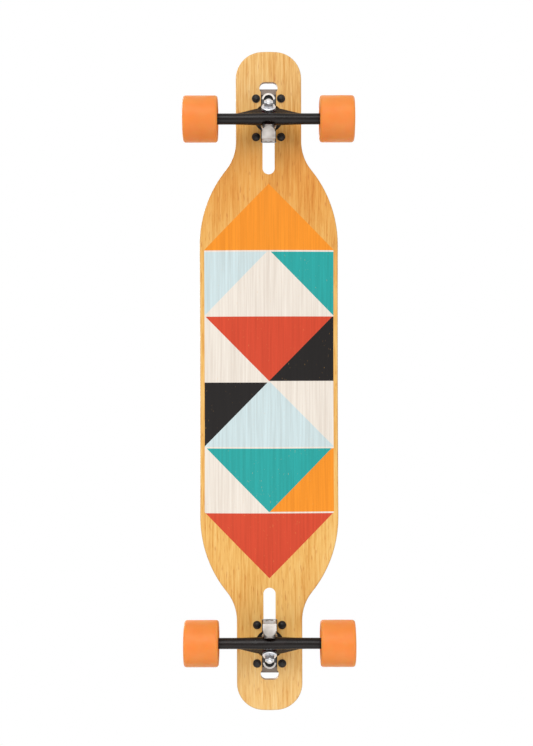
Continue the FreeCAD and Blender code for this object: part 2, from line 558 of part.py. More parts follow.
def make_hanger():
    """Tapered bar with a yoke to the bushing ring and a nose that sits in the pivot cup."""
    end_radius = HANGER_END_DIAMETER / 2
    mid_radius = HANGER_MID_DIAMETER / 2
    half = HANGER_LENGTH / 2
    bore = AXLE_DIAMETER / 2 + PRESS_CLEARANCE
    middle = Vector(mid_radius, 0)
    edges = []
    for way in (1, -1):
        swell = Part.BezierCurve()
        swell.setPoles([Vector(end_radius, way * HANGER_TAPER_REACH),
                        Vector(end_radius, way * HANGER_TAPER_REACH / 2),
                        Vector(mid_radius, way * HANGER_TAPER_REACH / 2), middle])
        rim = [Vector(end_radius, way * HANGER_TAPER_REACH), Vector(end_radius, way * half),
               Vector(bore, way * half)]
        edges += [swell.toShape()] + Part.makePolygon(rim).Edges
    edges.append(Part.LineSegment(Vector(bore, half), Vector(bore, -half)).toShape())
    bar = Part.Face(Part.Wire(Part.__sortEdges__(edges)))
    bar = bar.revolve(Vector(0, 0, 0), SIDE, 360)

    # The yoke's plan lies across the kingpin: X runs from the ring back to the axle, Y along the axle.
    back = Vector(RING_REACH, YOKE_HALF_SPAN)
    far_corner = Vector(RING_REACH - YOKE_ROOT, YOKE_HALF_SPAN)
    shoulder = Vector(-YOKE_SHOULDER_REACH, YOKE_SHOULDER_WIDTH / 2)
    bearing = math.atan2(shoulder.y, shoulder.x) + math.acos(RING_RADIUS / shoulder.Length)
    tangent = Vector(RING_RADIUS * math.cos(bearing), RING_RADIUS * math.sin(bearing))
    chord = (shoulder - far_corner).normalize()
    waist = (far_corner + shoulder) * 0.5 + Vector(-chord.y, chord.x) * YOKE_HOLLOW

    def other_side(point):
        return Vector(point.x, -point.y)

    rim = [shoulder, tangent, other_side(tangent), other_side(shoulder)]
    root = [other_side(far_corner), other_side(back), back, far_corner]
    edges = Part.makePolygon(rim).Edges + Part.makePolygon(root).Edges
    edges.append(Part.Arc(far_corner, waist, shoulder).toShape())
    edges.append(Part.Arc(other_side(shoulder), other_side(waist), other_side(far_corner)).toShape())
    yoke = Part.Face(Part.Wire(Part.__sortEdges__(edges)))
    yoke = yoke.extrude(Vector(0, 0, YOKE_THICKNESS))
    yoke.translate(Vector(0, 0, RING_THICKNESS / 2 - YOKE_THICKNESS))
    ring = Part.makeCylinder(RING_RADIUS, RING_THICKNESS, Vector(0, 0, -RING_THICKNESS / 2))

    nose_length = PIVOT_REACH + RING_REACH - RING_BORE_RADIUS - BUSHING_SEAT_CLEARANCE
    neck = CUP_MOUTH + NOSE_NECK
    nose = Part.makeCylinder(NOSE_TIP_RADIUS, neck)
    root = Part.makeCone(NOSE_TIP_RADIUS, NOSE_ROOT_RADIUS, nose_length - neck, Vector(0, 0, neck))
    nose = nose.multiFuse([root, Part.makeSphere(NOSE_TIP_RADIUS)])
    body = bar.multiFuse([on_kingpin(yoke), on_kingpin(ring), on_pivot(nose)])

    seat_radius = BUSHING_RADIUS + BUSHING_SEAT_CLEARANCE
    axle_bore = Part.makeCylinder(bore, HANGER_LENGTH, Vector(0, -half, 0), SIDE)
    reach = RING_THICKNESS * 2
    cuts = [axle_bore,
            on_kingpin(Part.makeCylinder(RING_BORE_RADIUS, 2 * reach, Vector(0, 0, -reach))),
            on_kingpin(Part.makeCylinder(seat_radius, reach, Vector(0, 0, SEAT_FLOOR))),
            on_kingpin(Part.makeCylinder(seat_radius, reach, Vector(0, 0, -SEAT_FLOOR - reach)))]
    return body.cut(cuts).removeSplitter()


def make_kingpin():
    """Kingpin with a hexagonal head sunk in the base plate."""
    head = hexagon(KINGPIN_HEAD_FLATS, HEAD_STATION - KINGPIN_HEAD_HEIGHT, HEAD_STATION)
    chamfer = KINGPIN_DIAMETER / 10
    radius = KINGPIN_DIAMETER / 2
    shank = turned([(0, HEAD_STATION), (radius, HEAD_STATION), (radius, KINGPIN_TIP - chamfer),
                    (radius - chamfer, KINGPIN_TIP), (0, KINGPIN_TIP)])
    return on_kingpin(head.fuse(shank))


def make_boardside_bushing():
    """Barrel bushing between the base plate's ramp and the hanger's ring."""
    bore = KINGPIN_DIAMETER / 2 + BUSHING_BORE_CLEARANCE
    high = -BUSHING_START
    low = high - BOARDSIDE_BUSHING_HEIGHT
    edge = BUSHING_RADIUS - BUSHING_CHAMFER
    return on_kingpin(turned([(bore, low), (edge, low), (BUSHING_RADIUS, low + BUSHING_CHAMFER),
                              (BUSHING_RADIUS, high - BUSHING_CHAMFER), (edge, high), (bore, high)]))


def make_roadside_bushing():
    """Cone bushing between the hanger's ring and the cup washer."""
    bore = KINGPIN_DIAMETER / 2 + BUSHING_BORE_CLEARANCE
    low = BUSHING_START
    high = low + ROADSIDE_BUSHING_HEIGHT
    edge = BUSHING_RADIUS - BUSHING_CHAMFER
    return on_kingpin(turned([(bore, low), (edge, low), (BUSHING_RADIUS, low + BUSHING_CHAMFER),
                              (BUSHING_RADIUS, low + RING_SEAT_DEPTH), (ROADSIDE_BUSHING_TIP_RADIUS, high),
                              (bore, high)]))


def make_boardside_washer():
    """Flat washer on the ramp."""
    bore = KINGPIN_DIAMETER / 2 + BUSHING_BORE_CLEARANCE
    return on_kingpin(tube(BOARDSIDE_WASHER_RADIUS, bore, RAMP_STATION, RAMP_STATION + WASHER_THICKNESS))


def make_roadside_washer():
    """Cup washer whose lip holds the cone bushing's tip."""
    bore = KINGPIN_DIAMETER / 2 + BUSHING_BORE_CLEARANCE
    inner_lip = CUP_WASHER_RADIUS - WASHER_THICKNESS / 2
    seat = CUP_WASHER_STATION
    back = seat + WASHER_THICKNESS
    bevel = WASHER_THICKNESS / 2
    return on_kingpin(turned([(bore, seat), (ROADSIDE_BUSHING_TIP_RADIUS + BUSHING_SEAT_CLEARANCE, seat),
                              (inner_lip, seat - CUP_WASHER_LIP),
                              (CUP_WASHER_RADIUS, seat - CUP_WASHER_LIP),
                              (CUP_WASHER_RADIUS, back - bevel), (CUP_WASHER_RADIUS - bevel, back),
                              (bore, back)]))


def make_kingpin_nut():
    """Nut that tightens the bushings."""
    bore = KINGPIN_DIAMETER / 2 + PRESS_CLEARANCE
    return on_kingpin(hex_nut(KINGPIN_NUT_FLATS, bore, NUT_STATION, NUT_STATION + KINGPIN_NUT_HEIGHT))


def make_axle():
    """Steel axle through the hanger, with bevelled ends."""
    radius = AXLE_DIAMETER / 2
    bevel = AXLE_DIAMETER / 10
    return on_axle(turned([(0, -AXLE_TIP_Y), (radius - bevel, -AXLE_TIP_Y), (radius, bevel - AXLE_TIP_Y),
                           (radius, AXLE_TIP_Y - bevel), (radius - bevel, AXLE_TIP_Y), (0, AXLE_TIP_Y)]))


def make_axle_nuts():
    """Lock nuts at both ends of the axle."""
    bore = AXLE_DIAMETER / 2 + PRESS_CLEARANCE
    nut = hex_nut(AXLE_NUT_FLATS, bore, AXLE_NUT_Y, AXLE_NUT_Y + AXLE_NUT_HEIGHT)
    return both_sides(on_axle(nut))


def make_speed_washers():
    """Thin washers on both sides of each wheel's bearings."""
    bore = AXLE_DIAMETER / 2 + PRESS_CLEARANCE
    radius = SPEED_WASHER_DIAMETER / 2
    washers = [tube(radius, bore, low, low + SPEED_WASHER_THICKNESS)
               for low in (INNER_WASHER_Y, OUTER_WASHER_Y)]
    return both_sides(on_axle(Part.makeCompound(washers)))


# Wheel pieces, modelled on the axle's left half

INNER_RACE_RADIUS = AXLE_DIAMETER / 2 + INNER_RACE_WALL
OUTER_RACE_RADIUS = BEARING_DIAMETER / 2 - OUTER_RACE_WALL
BALL_PITCH = (INNER_RACE_RADIUS + OUTER_RACE_RADIUS) / 2
GROOVE_RADIUS = (OUTER_RACE_RADIUS - INNER_RACE_RADIUS) / 2 + BALL_GROOVE_DEPTH
BALL_RADIUS = GROOVE_RADIUS - BALL_CLEARANCE
BEARING_MIDDLES = [INNER_BEARING_Y + BEARING_WIDTH / 2, OUTER_BEARING_Y + BEARING_WIDTH / 2]


def raised(shape, heights):
    """Copies of a shape at several heights, as separate solids."""
    copies = []
    for height in heights:
        copy = shape.copy()
        copy.translate(Vector(0, 0, height))
        copies.append(copy)
    return Part.makeCompound(copies)


def make_tyre():
    """Urethane tyre with rounded lips, a hollow outer face and a bore bonded to the core."""
    radius = WHEEL_DIAMETER / 2
    half = WHEEL_WIDTH / 2
    brow = radius - WHEEL_LIP_RADIUS
    bend = WHEEL_LIP_RADIUS * math.sqrt(0.5)
    shoulder = half - WHEEL_LIP_RADIUS
    bore = CORE_RADIUS + PRESS_CLEARANCE

    def at(distance, height):
        return Vector(distance, 0, height)

    edges = [Part.LineSegment(at(radius, -shoulder), at(radius, shoulder)).toShape()]
    core_edges = []
    for way in (1, -1):
        core_edge = at(bore, way * CORE_WIDTH / 2 - WHEEL_OFFSET)
        core_edges.append(core_edge)
        face = [at(brow, way * half), at(bore + CORE_RIM, way * (half - WHEEL_FACE_DEPTH)), core_edge]
        lip = Part.Arc(at(radius, way * shoulder), at(brow + bend, way * (shoulder + bend)), face[0])
        edges += [lip.toShape()] + Part.makePolygon(face).Edges
    edges.append(Part.LineSegment(core_edges[0], core_edges[1]).toShape())
    section = Part.Face(Part.Wire(Part.__sortEdges__(edges)))
    tyre = section.revolve(Vector(0, 0, 0), Vector(0, 0, 1), 360)
    tyre.translate(Vector(0, 0, TYRE_Y))
    return on_axle(tyre)


def make_core():
    """Stiff core: hub with two bearing seats, web, rim and spokes."""
    low = CORE_Y - CORE_WIDTH / 2
    high = CORE_Y + CORE_WIDTH / 2
    seat = BEARING_DIAMETER / 2 + PRESS_CLEARANCE
    hub = seat + CORE_HUB_WALL
    rim = tube(CORE_RADIUS, CORE_RADIUS - CORE_RIM, low, high)
    web = tube(CORE_RADIUS - CORE_RIM / 2, hub - CORE_HUB_WALL / 2,
               CORE_Y - CORE_WEB / 2, CORE_Y + CORE_WEB / 2)
    hub_tube = tube(hub, seat - CORE_SHOULDER, INNER_BEARING_Y, OUTER_WASHER_Y)
    spoke = Part.makeBox(CORE_RADIUS - hub, SPOKE_WIDTH, OUTER_WASHER_Y - INNER_BEARING_Y,
                         Vector(hub - CORE_HUB_WALL / 2, -SPOKE_WIDTH / 2, INNER_BEARING_Y))
    spokes = []
    for step in range(SPOKE_COUNT):
        copy = spoke.copy()
        copy.rotate(Vector(0, 0, 0), Vector(0, 0, 1), 360 * step / SPOKE_COUNT)
        spokes.append(copy)
    core = rim.multiFuse([web, hub_tube] + spokes)
    seats = [Part.makeCylinder(seat, BEARING_WIDTH, Vector(0, 0, foot))
             for foot in (INNER_BEARING_Y, OUTER_BEARING_Y)]
    return on_axle(core.cut(seats).removeSplitter())


def make_outer_races():
    """Outer races of both bearings, with their ball grooves."""
    half = BEARING_WIDTH / 2
    race = tube(BEARING_DIAMETER / 2, OUTER_RACE_RADIUS, -half, half)
    return on_axle(raised(race.cut(Part.makeTorus(BALL_PITCH, GROOVE_RADIUS)), BEARING_MIDDLES))


def make_inner_races():
    """Inner races of both bearings, with their ball grooves."""
    half = BEARING_WIDTH / 2
    race = tube(INNER_RACE_RADIUS, AXLE_DIAMETER / 2 + PRESS_CLEARANCE, -half, half)
    return on_axle(raised(race.cut(Part.makeTorus(BALL_PITCH, GROOVE_RADIUS)), BEARING_MIDDLES))


def make_balls():
    """Balls of both bearings, each set with the ring of its cage."""
    pieces = [tube(BALL_PITCH + CAGE_WIDTH / 2, BALL_PITCH - CAGE_WIDTH / 2, BALL_RADIUS + CAGE_GAP,
                   BALL_RADIUS + CAGE_GAP + CAGE_THICKNESS)]
    for step in range(BALL_COUNT):
        turn = 2 * math.pi * step / BALL_COUNT
        spot = Vector(BALL_PITCH * math.cos(turn), BALL_PITCH * math.sin(turn), 0)
        pieces.append(Part.makeSphere(BALL_RADIUS, spot))
    return on_axle(raised(Part.makeCompound(pieces), BEARING_MIDDLES))


def make_shields():
    """Shields at both sides of both bearings, held by the outer races."""
    low = BEARING_WIDTH / 2 - SHIELD_INSET - SHIELD_THICKNESS
    inner = INNER_RACE_RADIUS + SHIELD_CLEARANCE
    outer = OUTER_RACE_RADIUS - PRESS_CLEARANCE
    pair = [tube(outer, inner, low, low + SHIELD_THICKNESS),
            tube(outer, inner, -low - SHIELD_THICKNESS, -low)]
    return on_axle(raised(Part.makeCompound(pair), BEARING_MIDDLES))


def make_spacer():
    """Sleeve between the inner races."""
    bore = AXLE_DIAMETER / 2 + PRESS_CLEARANCE
    return on_axle(tube(bore + SPACER_WALL, bore, SPACER_Y, OUTER_BEARING_Y))


# The whole board

BOARD_PIECES = {"deck": make_deck, "grip_tape": make_grip_tape, "mounting_bolts": make_mounting_bolts,
                "mounting_washers": make_mounting_washers, "mounting_lock_nuts": make_lock_nuts}
TRUCK_PIECES = {"baseplate": make_baseplate, "pivot_cup": make_pivot_cup, "kingpin": make_kingpin,
                "boardside_bushing": make_boardside_bushing, "roadside_bushing": make_roadside_bushing,
                "boardside_washer": make_boardside_washer, "roadside_washer": make_roadside_washer,
                "kingpin_nut": make_kingpin_nut, "hanger": make_hanger, "axle": make_axle,
                "axle_nuts": make_axle_nuts, "speed_washers": make_speed_washers}
WHEEL_PIECES = {"tyre": make_tyre, "core": make_core, "bearing_outer_races": make_outer_races,
                "bearing_inner_races": make_inner_races, "bearing_balls": make_balls,
                "bearing_shields": make_shields, "bearing_spacer": make_spacer}


def build_board():
    """Every piece of the board by its name."""
    pieces = {name: make() for name, make in BOARD_PIECES.items()}
    for end_name, end in (("front", 1), ("rear", -1)):
        for name, make in TRUCK_PIECES.items():
            pieces[end_name + "_" + name] = placed(make(), end)
        for name, make in WHEEL_PIECES.items():
            left = make()
            right = left.copy()
            right.rotate(Vector(0, 0, 0), Vector(0, 0, 1), 180)
            # The tail truck is turned about, so its own left half lies on the board's right.
            hands = ("left", "right") if end > 0 else ("right", "left")
            pieces["_".join((end_name, hands[0], name))] = placed(left, end)
            pieces["_".join((end_name, hands[1], name))] = placed(right, end)
    return pieces


os.makedirs("parts", exist_ok=True)
for piece_name, piece in build_board().items():
    piece.exportStep("parts/" + piece_name + ".step")
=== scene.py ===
"""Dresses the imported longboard: lacquered bamboo, black trucks with bare castings, orange wheels."""

import json
import logging
import math
from dataclasses import dataclass
from enum import Enum
from typing import Sequence, Union

import bpy
import numpy as np
from mathutils import Matrix, Vector


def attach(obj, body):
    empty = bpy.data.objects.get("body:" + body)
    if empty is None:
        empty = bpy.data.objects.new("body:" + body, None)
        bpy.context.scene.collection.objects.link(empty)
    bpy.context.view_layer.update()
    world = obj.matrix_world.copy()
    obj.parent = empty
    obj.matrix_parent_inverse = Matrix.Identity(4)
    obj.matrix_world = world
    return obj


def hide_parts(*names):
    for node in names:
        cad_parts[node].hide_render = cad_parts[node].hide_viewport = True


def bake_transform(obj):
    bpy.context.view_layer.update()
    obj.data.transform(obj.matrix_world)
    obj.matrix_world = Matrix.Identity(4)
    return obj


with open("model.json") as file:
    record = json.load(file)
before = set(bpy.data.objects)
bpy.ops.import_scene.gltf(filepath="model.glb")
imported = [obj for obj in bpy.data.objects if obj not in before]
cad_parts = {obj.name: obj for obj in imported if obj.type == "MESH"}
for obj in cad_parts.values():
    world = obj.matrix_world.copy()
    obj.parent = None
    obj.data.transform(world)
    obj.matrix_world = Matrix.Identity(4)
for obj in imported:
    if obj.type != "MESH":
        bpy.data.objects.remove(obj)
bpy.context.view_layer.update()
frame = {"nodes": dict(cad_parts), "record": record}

LOG = logging.getLogger("longboard")
MM = 0.001
WELD = 2e-6
IMAGE_WIDTH, IMAGE_HEIGHT = 533, 746

Socket = bpy.types.NodeSocket
Value = Union[Socket, float]
Colour = tuple[int, int, int]
Stops = tuple[tuple[float, Colour], ...]
Spot = tuple[float, float, float]
Mesh = tuple[np.ndarray, np.ndarray]


class End(Enum):
    """The board's two ends, with the sign of X that each lies on."""

    FRONT = 1
    REAR = -1

    @property
    def label(self) -> str:
        """Word that the CAD nodes and bodies of this end start with."""
        return self.name.lower()


class Hand(Enum):
    """The board's two sides, with the sign of Y that each lies on."""

    LEFT = 1
    RIGHT = -1

    @property
    def label(self) -> str:
        """Word that the CAD nodes and bodies of this side hold."""
        return self.name.lower()


def linear(colour: Colour) -> tuple[float, float, float, float]:
    """Turns a display colour into the linear one that shader sockets take.

    Args:
        colour: red, green and blue from 0 to 255, as seen on a screen.

    Returns:
        Linear red, green, blue and a full alpha.
    """
    shares = np.asarray(colour, float) / 255
    bent = np.where(shares <= 0.04045, shares / 12.92, ((shares + 0.055) / 1.055) ** 2.4)
    return (*(float(share) for share in bent), 1.0)


class Wiring:
    """Node tree of one material, with short calls for the nodes that the finishes use."""

    def __init__(self, name: str) -> None:
        """Starts a material with a Principled shader on its output.

        Args:
            name: name of the material.
        """
        self.material = bpy.data.materials.new(name)
        self.material.use_nodes = True
        self.tree = self.material.node_tree
        self.tree.nodes.clear()
        self.output = self.tree.nodes.new("ShaderNodeOutputMaterial")
        self.shader = self.tree.nodes.new("ShaderNodeBsdfPrincipled")
        self.tree.links.new(self.shader.outputs[0], self.output.inputs["Surface"])
        self.spot = self.node("ShaderNodeTexCoord").outputs["Object"]

    def node(self, kind: str, **settings: object) -> bpy.types.Node:
        """Adds a node.

        Args:
            kind: Blender's name for the node's type.
            settings: properties of the node, by name.

        Returns:
            The new node.
        """
        made = self.tree.nodes.new(kind)
        for key, value in settings.items():
            setattr(made, key, value)
        return made

    def feed(self, socket: Socket, value: object) -> None:
        """Links a socket to another one, or sets its own value.

        Args:
            socket: socket to feed.
            value: the other socket, or a plain value.
        """
        if isinstance(value, bpy.types.NodeSocket):
            self.tree.links.new(value, socket)
        else:
            socket.default_value = value

    def set(self, **values: object) -> None:
        """Sets or links the shader's sockets.

        Args:
            values: value or socket for each, named with underscores for spaces.
        """
        for key, value in values.items():
            self.feed(self.shader.inputs[key.replace("_", " ")], value)

    def math(self, operation: str, *values: Value) -> Socket:
        """Adds a Math node.

        Args:
            operation: Blender's name for the sum.
            values: its numbers or sockets, in order.

        Returns:
            The socket of the result.
        """
        made = self.node("ShaderNodeMath", operation=operation)
        for socket, value in zip(made.inputs, values):
            self.feed(socket, value)
        return made.outputs[0]

    def span(self, value: Value, low: float, high: float, start: float = 0.0, end: float = 1.0) -> Socket:
        """Carries a value from one span to another, held at both ends.

        Args:
            value: number or socket to carry.
            low: value that gives start.
            high: value that gives end.
            start: result at low.
            end: result at high.

        Returns:
            The socket of the result.
        """
        made = self.node("ShaderNodeMapRange")
        for socket, number in zip(made.inputs, (value, low, high, start, end)):
            self.feed(socket, number)
        return made.outputs[0]

    def mix(self, share: Value, first: object, second: object, blend: str = "MIX") -> Socket:
        """Adds a colour mix.

        Args:
            share: how much of the second colour shows.
            first: colour or socket under it.
            second: colour or socket over it.
            blend: Blender's name for the way of mixing.

        Returns:
            The socket of the mixed colour.
        """
        made = self.node("ShaderNodeMix", data_type="RGBA", blend_type=blend)
        self.feed(made.inputs[0], share)
        self.feed(made.inputs[6], first)
        self.feed(made.inputs[7], second)
        return made.outputs[2]

    def noise(self, stretch: Sequence[float], detail: float = 2.0, roughness: float = 0.5) -> Socket:
        """Adds smooth noise on the Object coordinates.

        Args:
            stretch: number of blotches per metre along X, Y and Z.
            detail: number of finer layers.
            roughness: weight of the finer layers.

        Returns:
            The socket of the noise, from 0 to 1.
        """
        laid = self.node("ShaderNodeMapping")
        self.feed(laid.inputs["Vector"], self.spot)
        laid.inputs["Scale"].default_value = stretch
        made = self.node("ShaderNodeTexNoise")
        self.feed(made.inputs["Vector"], laid.outputs[0])
        made.inputs["Scale"].default_value = 1.0
        made.inputs["Detail"].default_value = detail
        made.inputs["Roughness"].default_value = roughness
        return made.outputs[0]

    def ramp(self, share: Value, stops: Sequence[tuple[float, Colour]], steps: bool = False) -> Socket:
        """Adds a colour ramp.

        Args:
            share: place on the ramp, from 0 to 1.
            stops: place and display colour of each stop.
            steps: whether each colour holds until the next stop.

        Returns:
            The socket of the colour.
        """
        made = self.node("ShaderNodeValToRGB")
        band = made.color_ramp
        band.interpolation = "CONSTANT" if steps else "LINEAR"
        while len(band.elements) < len(stops):
            band.elements.new(1.0)
        for element, (place, colour) in zip(band.elements, stops):
            element.position = place
            element.color = linear(colour)
        self.feed(made.inputs[0], share)
        return made.outputs[0]

    def bump(self, height: Socket, depth: float, strength: float = 1.0) -> None:
        """Raises the shader's surface by a height map.

        Args:
            height: socket of the height, from 0 to 1.
            depth: real depth of the relief in metres.
            strength: share of the relief that shows.
        """
        made = self.node("ShaderNodeBump")
        made.inputs["Strength"].default_value = strength
        made.inputs["Distance"].default_value = depth
        self.feed(made.inputs["Height"], height)
        self.feed(self.shader.inputs["Normal"], made.outputs[0])


class Finish:
    """A finish makes its material once, from its own fields."""

    name: str

    def wire(self, wiring: Wiring) -> None:
        """Fills the node tree of the finish.

        Args:
            wiring: node tree to fill.
        """
        raise NotImplementedError

    def material(self) -> bpy.types.Material:
        """Gives the finish's material, made at the first call.

        Returns:
            The material.
        """
        found = bpy.data.materials.get(self.name)
        if found is None:
            wiring = Wiring(self.name)
            self.wire(wiring)
            found = wiring.material
        return found


class Ink(Enum):
    """Printing inks of the panel under the deck."""

    PALE = (214, 233, 236)
    RED = (221, 77, 48)
    CREAM = (247, 238, 226)
    TEAL = (42, 172, 168)
    BLACK = (22, 18, 17)
    ORANGE = (255, 155, 40)


@dataclass(frozen=True)
class BambooFinish(Finish):
    """Lacquered bamboo strips with a printed panel of triangles under the deck and plies at its edge."""

    name: str = "lacquered_bamboo"
    strip_width: float = 8.5 * MM
    strip_length: float = 0.42
    strip_seam: float = 0.22 * MM
    streak_grain: Spot = (8, 340, 3)
    fine_grain: Spot = (24, 460, 9)
    broad_grain: Spot = (4, 24, 2)
    fleck_grain: Spot = (60, 330, 20)
    streak_share: float = 0.28
    fine_share: float = 0.40
    broad_share: float = 0.18
    strip_share: float = 0.06
    tone_lift: float = 0.06
    tones: Stops = ((0.30, (184, 114, 44)), (0.42, (222, 160, 82)), (0.53, (243, 196, 122)),
                    (0.70, (253, 222, 162)))
    fleck: Colour = (196, 116, 58)
    # Painted shade behind the front truck: its tint, and where it rises and falls along the board.
    painted_neck_shade: Colour = (242, 206, 156)
    painted_neck_shade_from: tuple[float, float] = (0.16, 0.31)
    painted_neck_shade_to: tuple[float, float] = (0.37, 0.45)
    golden: Colour = (254, 247, 224)
    golden_to: tuple[float, float] = (0.42, 0.48)
    ink_shade: Colour = (150, 120, 96)
    glue: Colour = (120, 78, 40)
    edge_shade: Colour = (168, 112, 56)
    gloss: float = 0.22
    block: float = 108.5 * MM
    half_print: float = 107.0 * MM
    rows: int = 4
    gap: float = 3.2 * MM
    under: float = 0.06
    edge_from: float = 0.10
    edge_to: float = 0.90
    wear_grain: Spot = (160, 900, 50)
    edge_grain: Spot = (160, 160, 900)
    relief: float = 0.12 * MM

    def wood(self, wiring: Wiring, along: Socket, streak: Socket) -> Socket:
        """Makes the colour of the strips: streaks along the board, uneven strips and short dark flecks.

        Args:
            wiring: node tree to work in.
            along: socket of the place along the board in metres; behind the front truck the wood carries a
                painted shade, and it is golden between the trucks.
            streak: socket of the long streaks.

        Returns:
            The socket of the colour.
        """
        fine = wiring.noise(self.fine_grain, 3.0, 0.7)
        broad = wiring.noise(self.broad_grain, 2.0)
        strips = wiring.node("ShaderNodeTexBrick", offset=0.37, offset_frequency=3)
        wiring.feed(strips.inputs["Vector"], wiring.spot)
        for key, value in (("Color1", (0.2, 0.2, 0.2, 1)), ("Color2", (0.8, 0.8, 0.8, 1)),
                           ("Mortar", (0.12, 0.12, 0.12, 1)), ("Scale", 1.0),
                           ("Mortar Size", self.strip_seam), ("Mortar Smooth", 0.6),
                           ("Brick Width", self.strip_length), ("Row Height", self.strip_width)):
            strips.inputs[key].default_value = value
        tone = wiring.math("MULTIPLY_ADD", streak, self.streak_share, self.tone_lift)
        for part, share in ((fine, self.fine_share), (broad, self.broad_share),
                            (strips.outputs[0], self.strip_share)):
            tone = wiring.math("MULTIPLY_ADD", part, share, tone)
        colour = wiring.ramp(tone, self.tones)
        flecks = wiring.span(wiring.noise(self.fleck_grain, 1.0), 0.64, 0.76, 0.0, 0.55)
        colour = wiring.mix(flecks, colour, linear(self.fleck))
        # Painted shade: the wood behind the front truck is darkened, where the board faces away from the
        # light.
        painted_neck_shade = wiring.math("MULTIPLY", wiring.span(along, *self.painted_neck_shade_from),
                           wiring.span(along, *self.painted_neck_shade_to, 1.0, 0.0))
        colour = wiring.mix(wiring.math("MULTIPLY", painted_neck_shade, 0.7), colour, linear(self.painted_neck_shade), "MULTIPLY")
        golden = wiring.span(wiring.math("ABSOLUTE", along), *self.golden_to, 1.0, 0.0)
        return wiring.mix(golden, colour, linear(self.golden), "MULTIPLY")

    def inks(self) -> tuple[list[Ink], list[Ink], list[Ink]]:
        """Gives the inks of the triangles from nose to tail.

        Returns:
            The inks of the middle triangles, and of those at the left and at the right.
        """
        middle = [Ink.ORANGE, Ink.CREAM, Ink.RED, Ink.PALE, Ink.TEAL, Ink.RED]
        left = [Ink.ORANGE, Ink.TEAL, Ink.BLACK, Ink.CREAM, Ink.ORANGE, Ink.RED]
        right = [Ink.ORANGE, Ink.PALE, Ink.CREAM, Ink.BLACK, Ink.CREAM, Ink.RED]
        return middle, left, right

    def row_ramp(self, wiring: Wiring, place: Socket, inks: Sequence[Ink]) -> Socket:
        """Makes a stepped ramp with one ink per row and a thin cream line between rows.

        Args:
            wiring: node tree to work in.
            place: share of the way from the panel's nose point to its tail point.
            inks: inks of the rows.

        Returns:
            The socket of the colour.
        """
        count = len(inks)
        half_gap = self.gap / 2 / (self.block * count)
        stops = [(0.0, inks[0].value)]
        for row in range(1, count):
            stops += [(row / count - half_gap, Ink.CREAM.value), (row / count + half_gap, inks[row].value)]
        return wiring.ramp(place, stops, steps=True)

    def panel(self, wiring: Wiring, along: Socket, across: Socket) -> tuple[Socket, Socket]:
        """Makes the print: rows of large triangles, pointing to nose and tail by turns, with pointed ends.

        Down the board, way counts rows from 0 to the number of rows; across it, side goes from 0 to 1.
        A middle triangle covers side below the row's own share, which runs up and down by turns.

        Args:
            wiring: node tree to work in.
            along: socket of the place along the board in metres.
            across: socket of the place across it.

        Returns:
            The sockets of the print's colour and of its mask.
        """
        way = wiring.math("MULTIPLY_ADD", along, -1 / self.block, self.rows / 2)
        side = wiring.math("DIVIDE", wiring.math("ABSOLUTE", across), self.half_print)
        place = wiring.math("DIVIDE", wiring.math("ADD", way, 1.0), self.rows + 2.0)
        middle, left, right = (self.row_ramp(wiring, place, inks) for inks in self.inks())
        flanks = wiring.mix(wiring.math("LESS_THAN", across, 0.0), left, right)
        inside = wiring.math("LESS_THAN", side, wiring.math("PINGPONG", way, 1.0))
        colour = wiring.mix(inside, flanks, middle)
        reach = wiring.math("MINIMUM", wiring.math("ADD", way, 1.0),
                            wiring.math("SUBTRACT", self.rows + 1.0, way))
        mask = wiring.math("LESS_THAN", side, wiring.math("MINIMUM", reach, 1.0))
        return colour, mask

    def wire(self, wiring: Wiring) -> None:
        """Joins wood, print and edge plies by the height share that the deck's mesh carries.

        Args:
            wiring: node tree to fill.
        """
        ply = wiring.node("ShaderNodeAttribute", attribute_name="ply").outputs["Fac"]
        streak = wiring.noise(self.streak_grain, 3.0, 0.6)
        axes = wiring.node("ShaderNodeSeparateXYZ")
        wiring.feed(axes.inputs[0], wiring.spot)
        along, across = axes.outputs[:2]
        wood = self.wood(wiring, along, streak)
        print_colour, mask = self.panel(wiring, along, across)
        shade = wiring.span(streak, 0.3, 0.7, 0.0, 0.24)
        inked = wiring.mix(shade, print_colour, linear(self.ink_shade), "MULTIPLY")
        below = wiring.math("LESS_THAN", ply, self.under)
        worn = wiring.span(wiring.noise(self.wear_grain, 1.0), 0.74, 0.80, 0.0, 0.5)
        cover = wiring.math("MULTIPLY", wiring.math("MULTIPLY", mask, below),
                            wiring.math("SUBTRACT", 1.0, worn))
        face = wiring.mix(cover, wood, inked)
        glue = self.glue
        plies = wiring.ramp(ply, ((0.0, (226, 172, 98)), (0.20, (236, 188, 116)), (0.215, glue),
                                  (0.235, (198, 140, 76)), (0.40, (208, 150, 84)), (0.415, glue),
                                  (0.435, (238, 192, 120)), (0.58, (232, 182, 108)), (0.595, glue),
                                  (0.615, (202, 146, 80)), (0.78, (210, 152, 86)), (0.795, glue),
                                  (0.815, (236, 190, 118)), (1.0, (230, 176, 100))))
        grain = wiring.span(wiring.noise(self.edge_grain, 2.0), 0.35, 0.7, 0.0, 0.25)
        edge = wiring.mix(grain, plies, linear(self.edge_shade), "MULTIPLY")
        on_edge = wiring.math("MULTIPLY", wiring.math("GREATER_THAN", ply, self.edge_from),
                              wiring.math("LESS_THAN", ply, self.edge_to))
        wiring.set(Base_Color=wiring.mix(on_edge, face, edge),
                   Roughness=wiring.span(streak, 0.3, 0.7, 0.46, 0.36), Specular_IOR_Level=self.gloss)
        wiring.bump(streak, self.relief, 0.5)


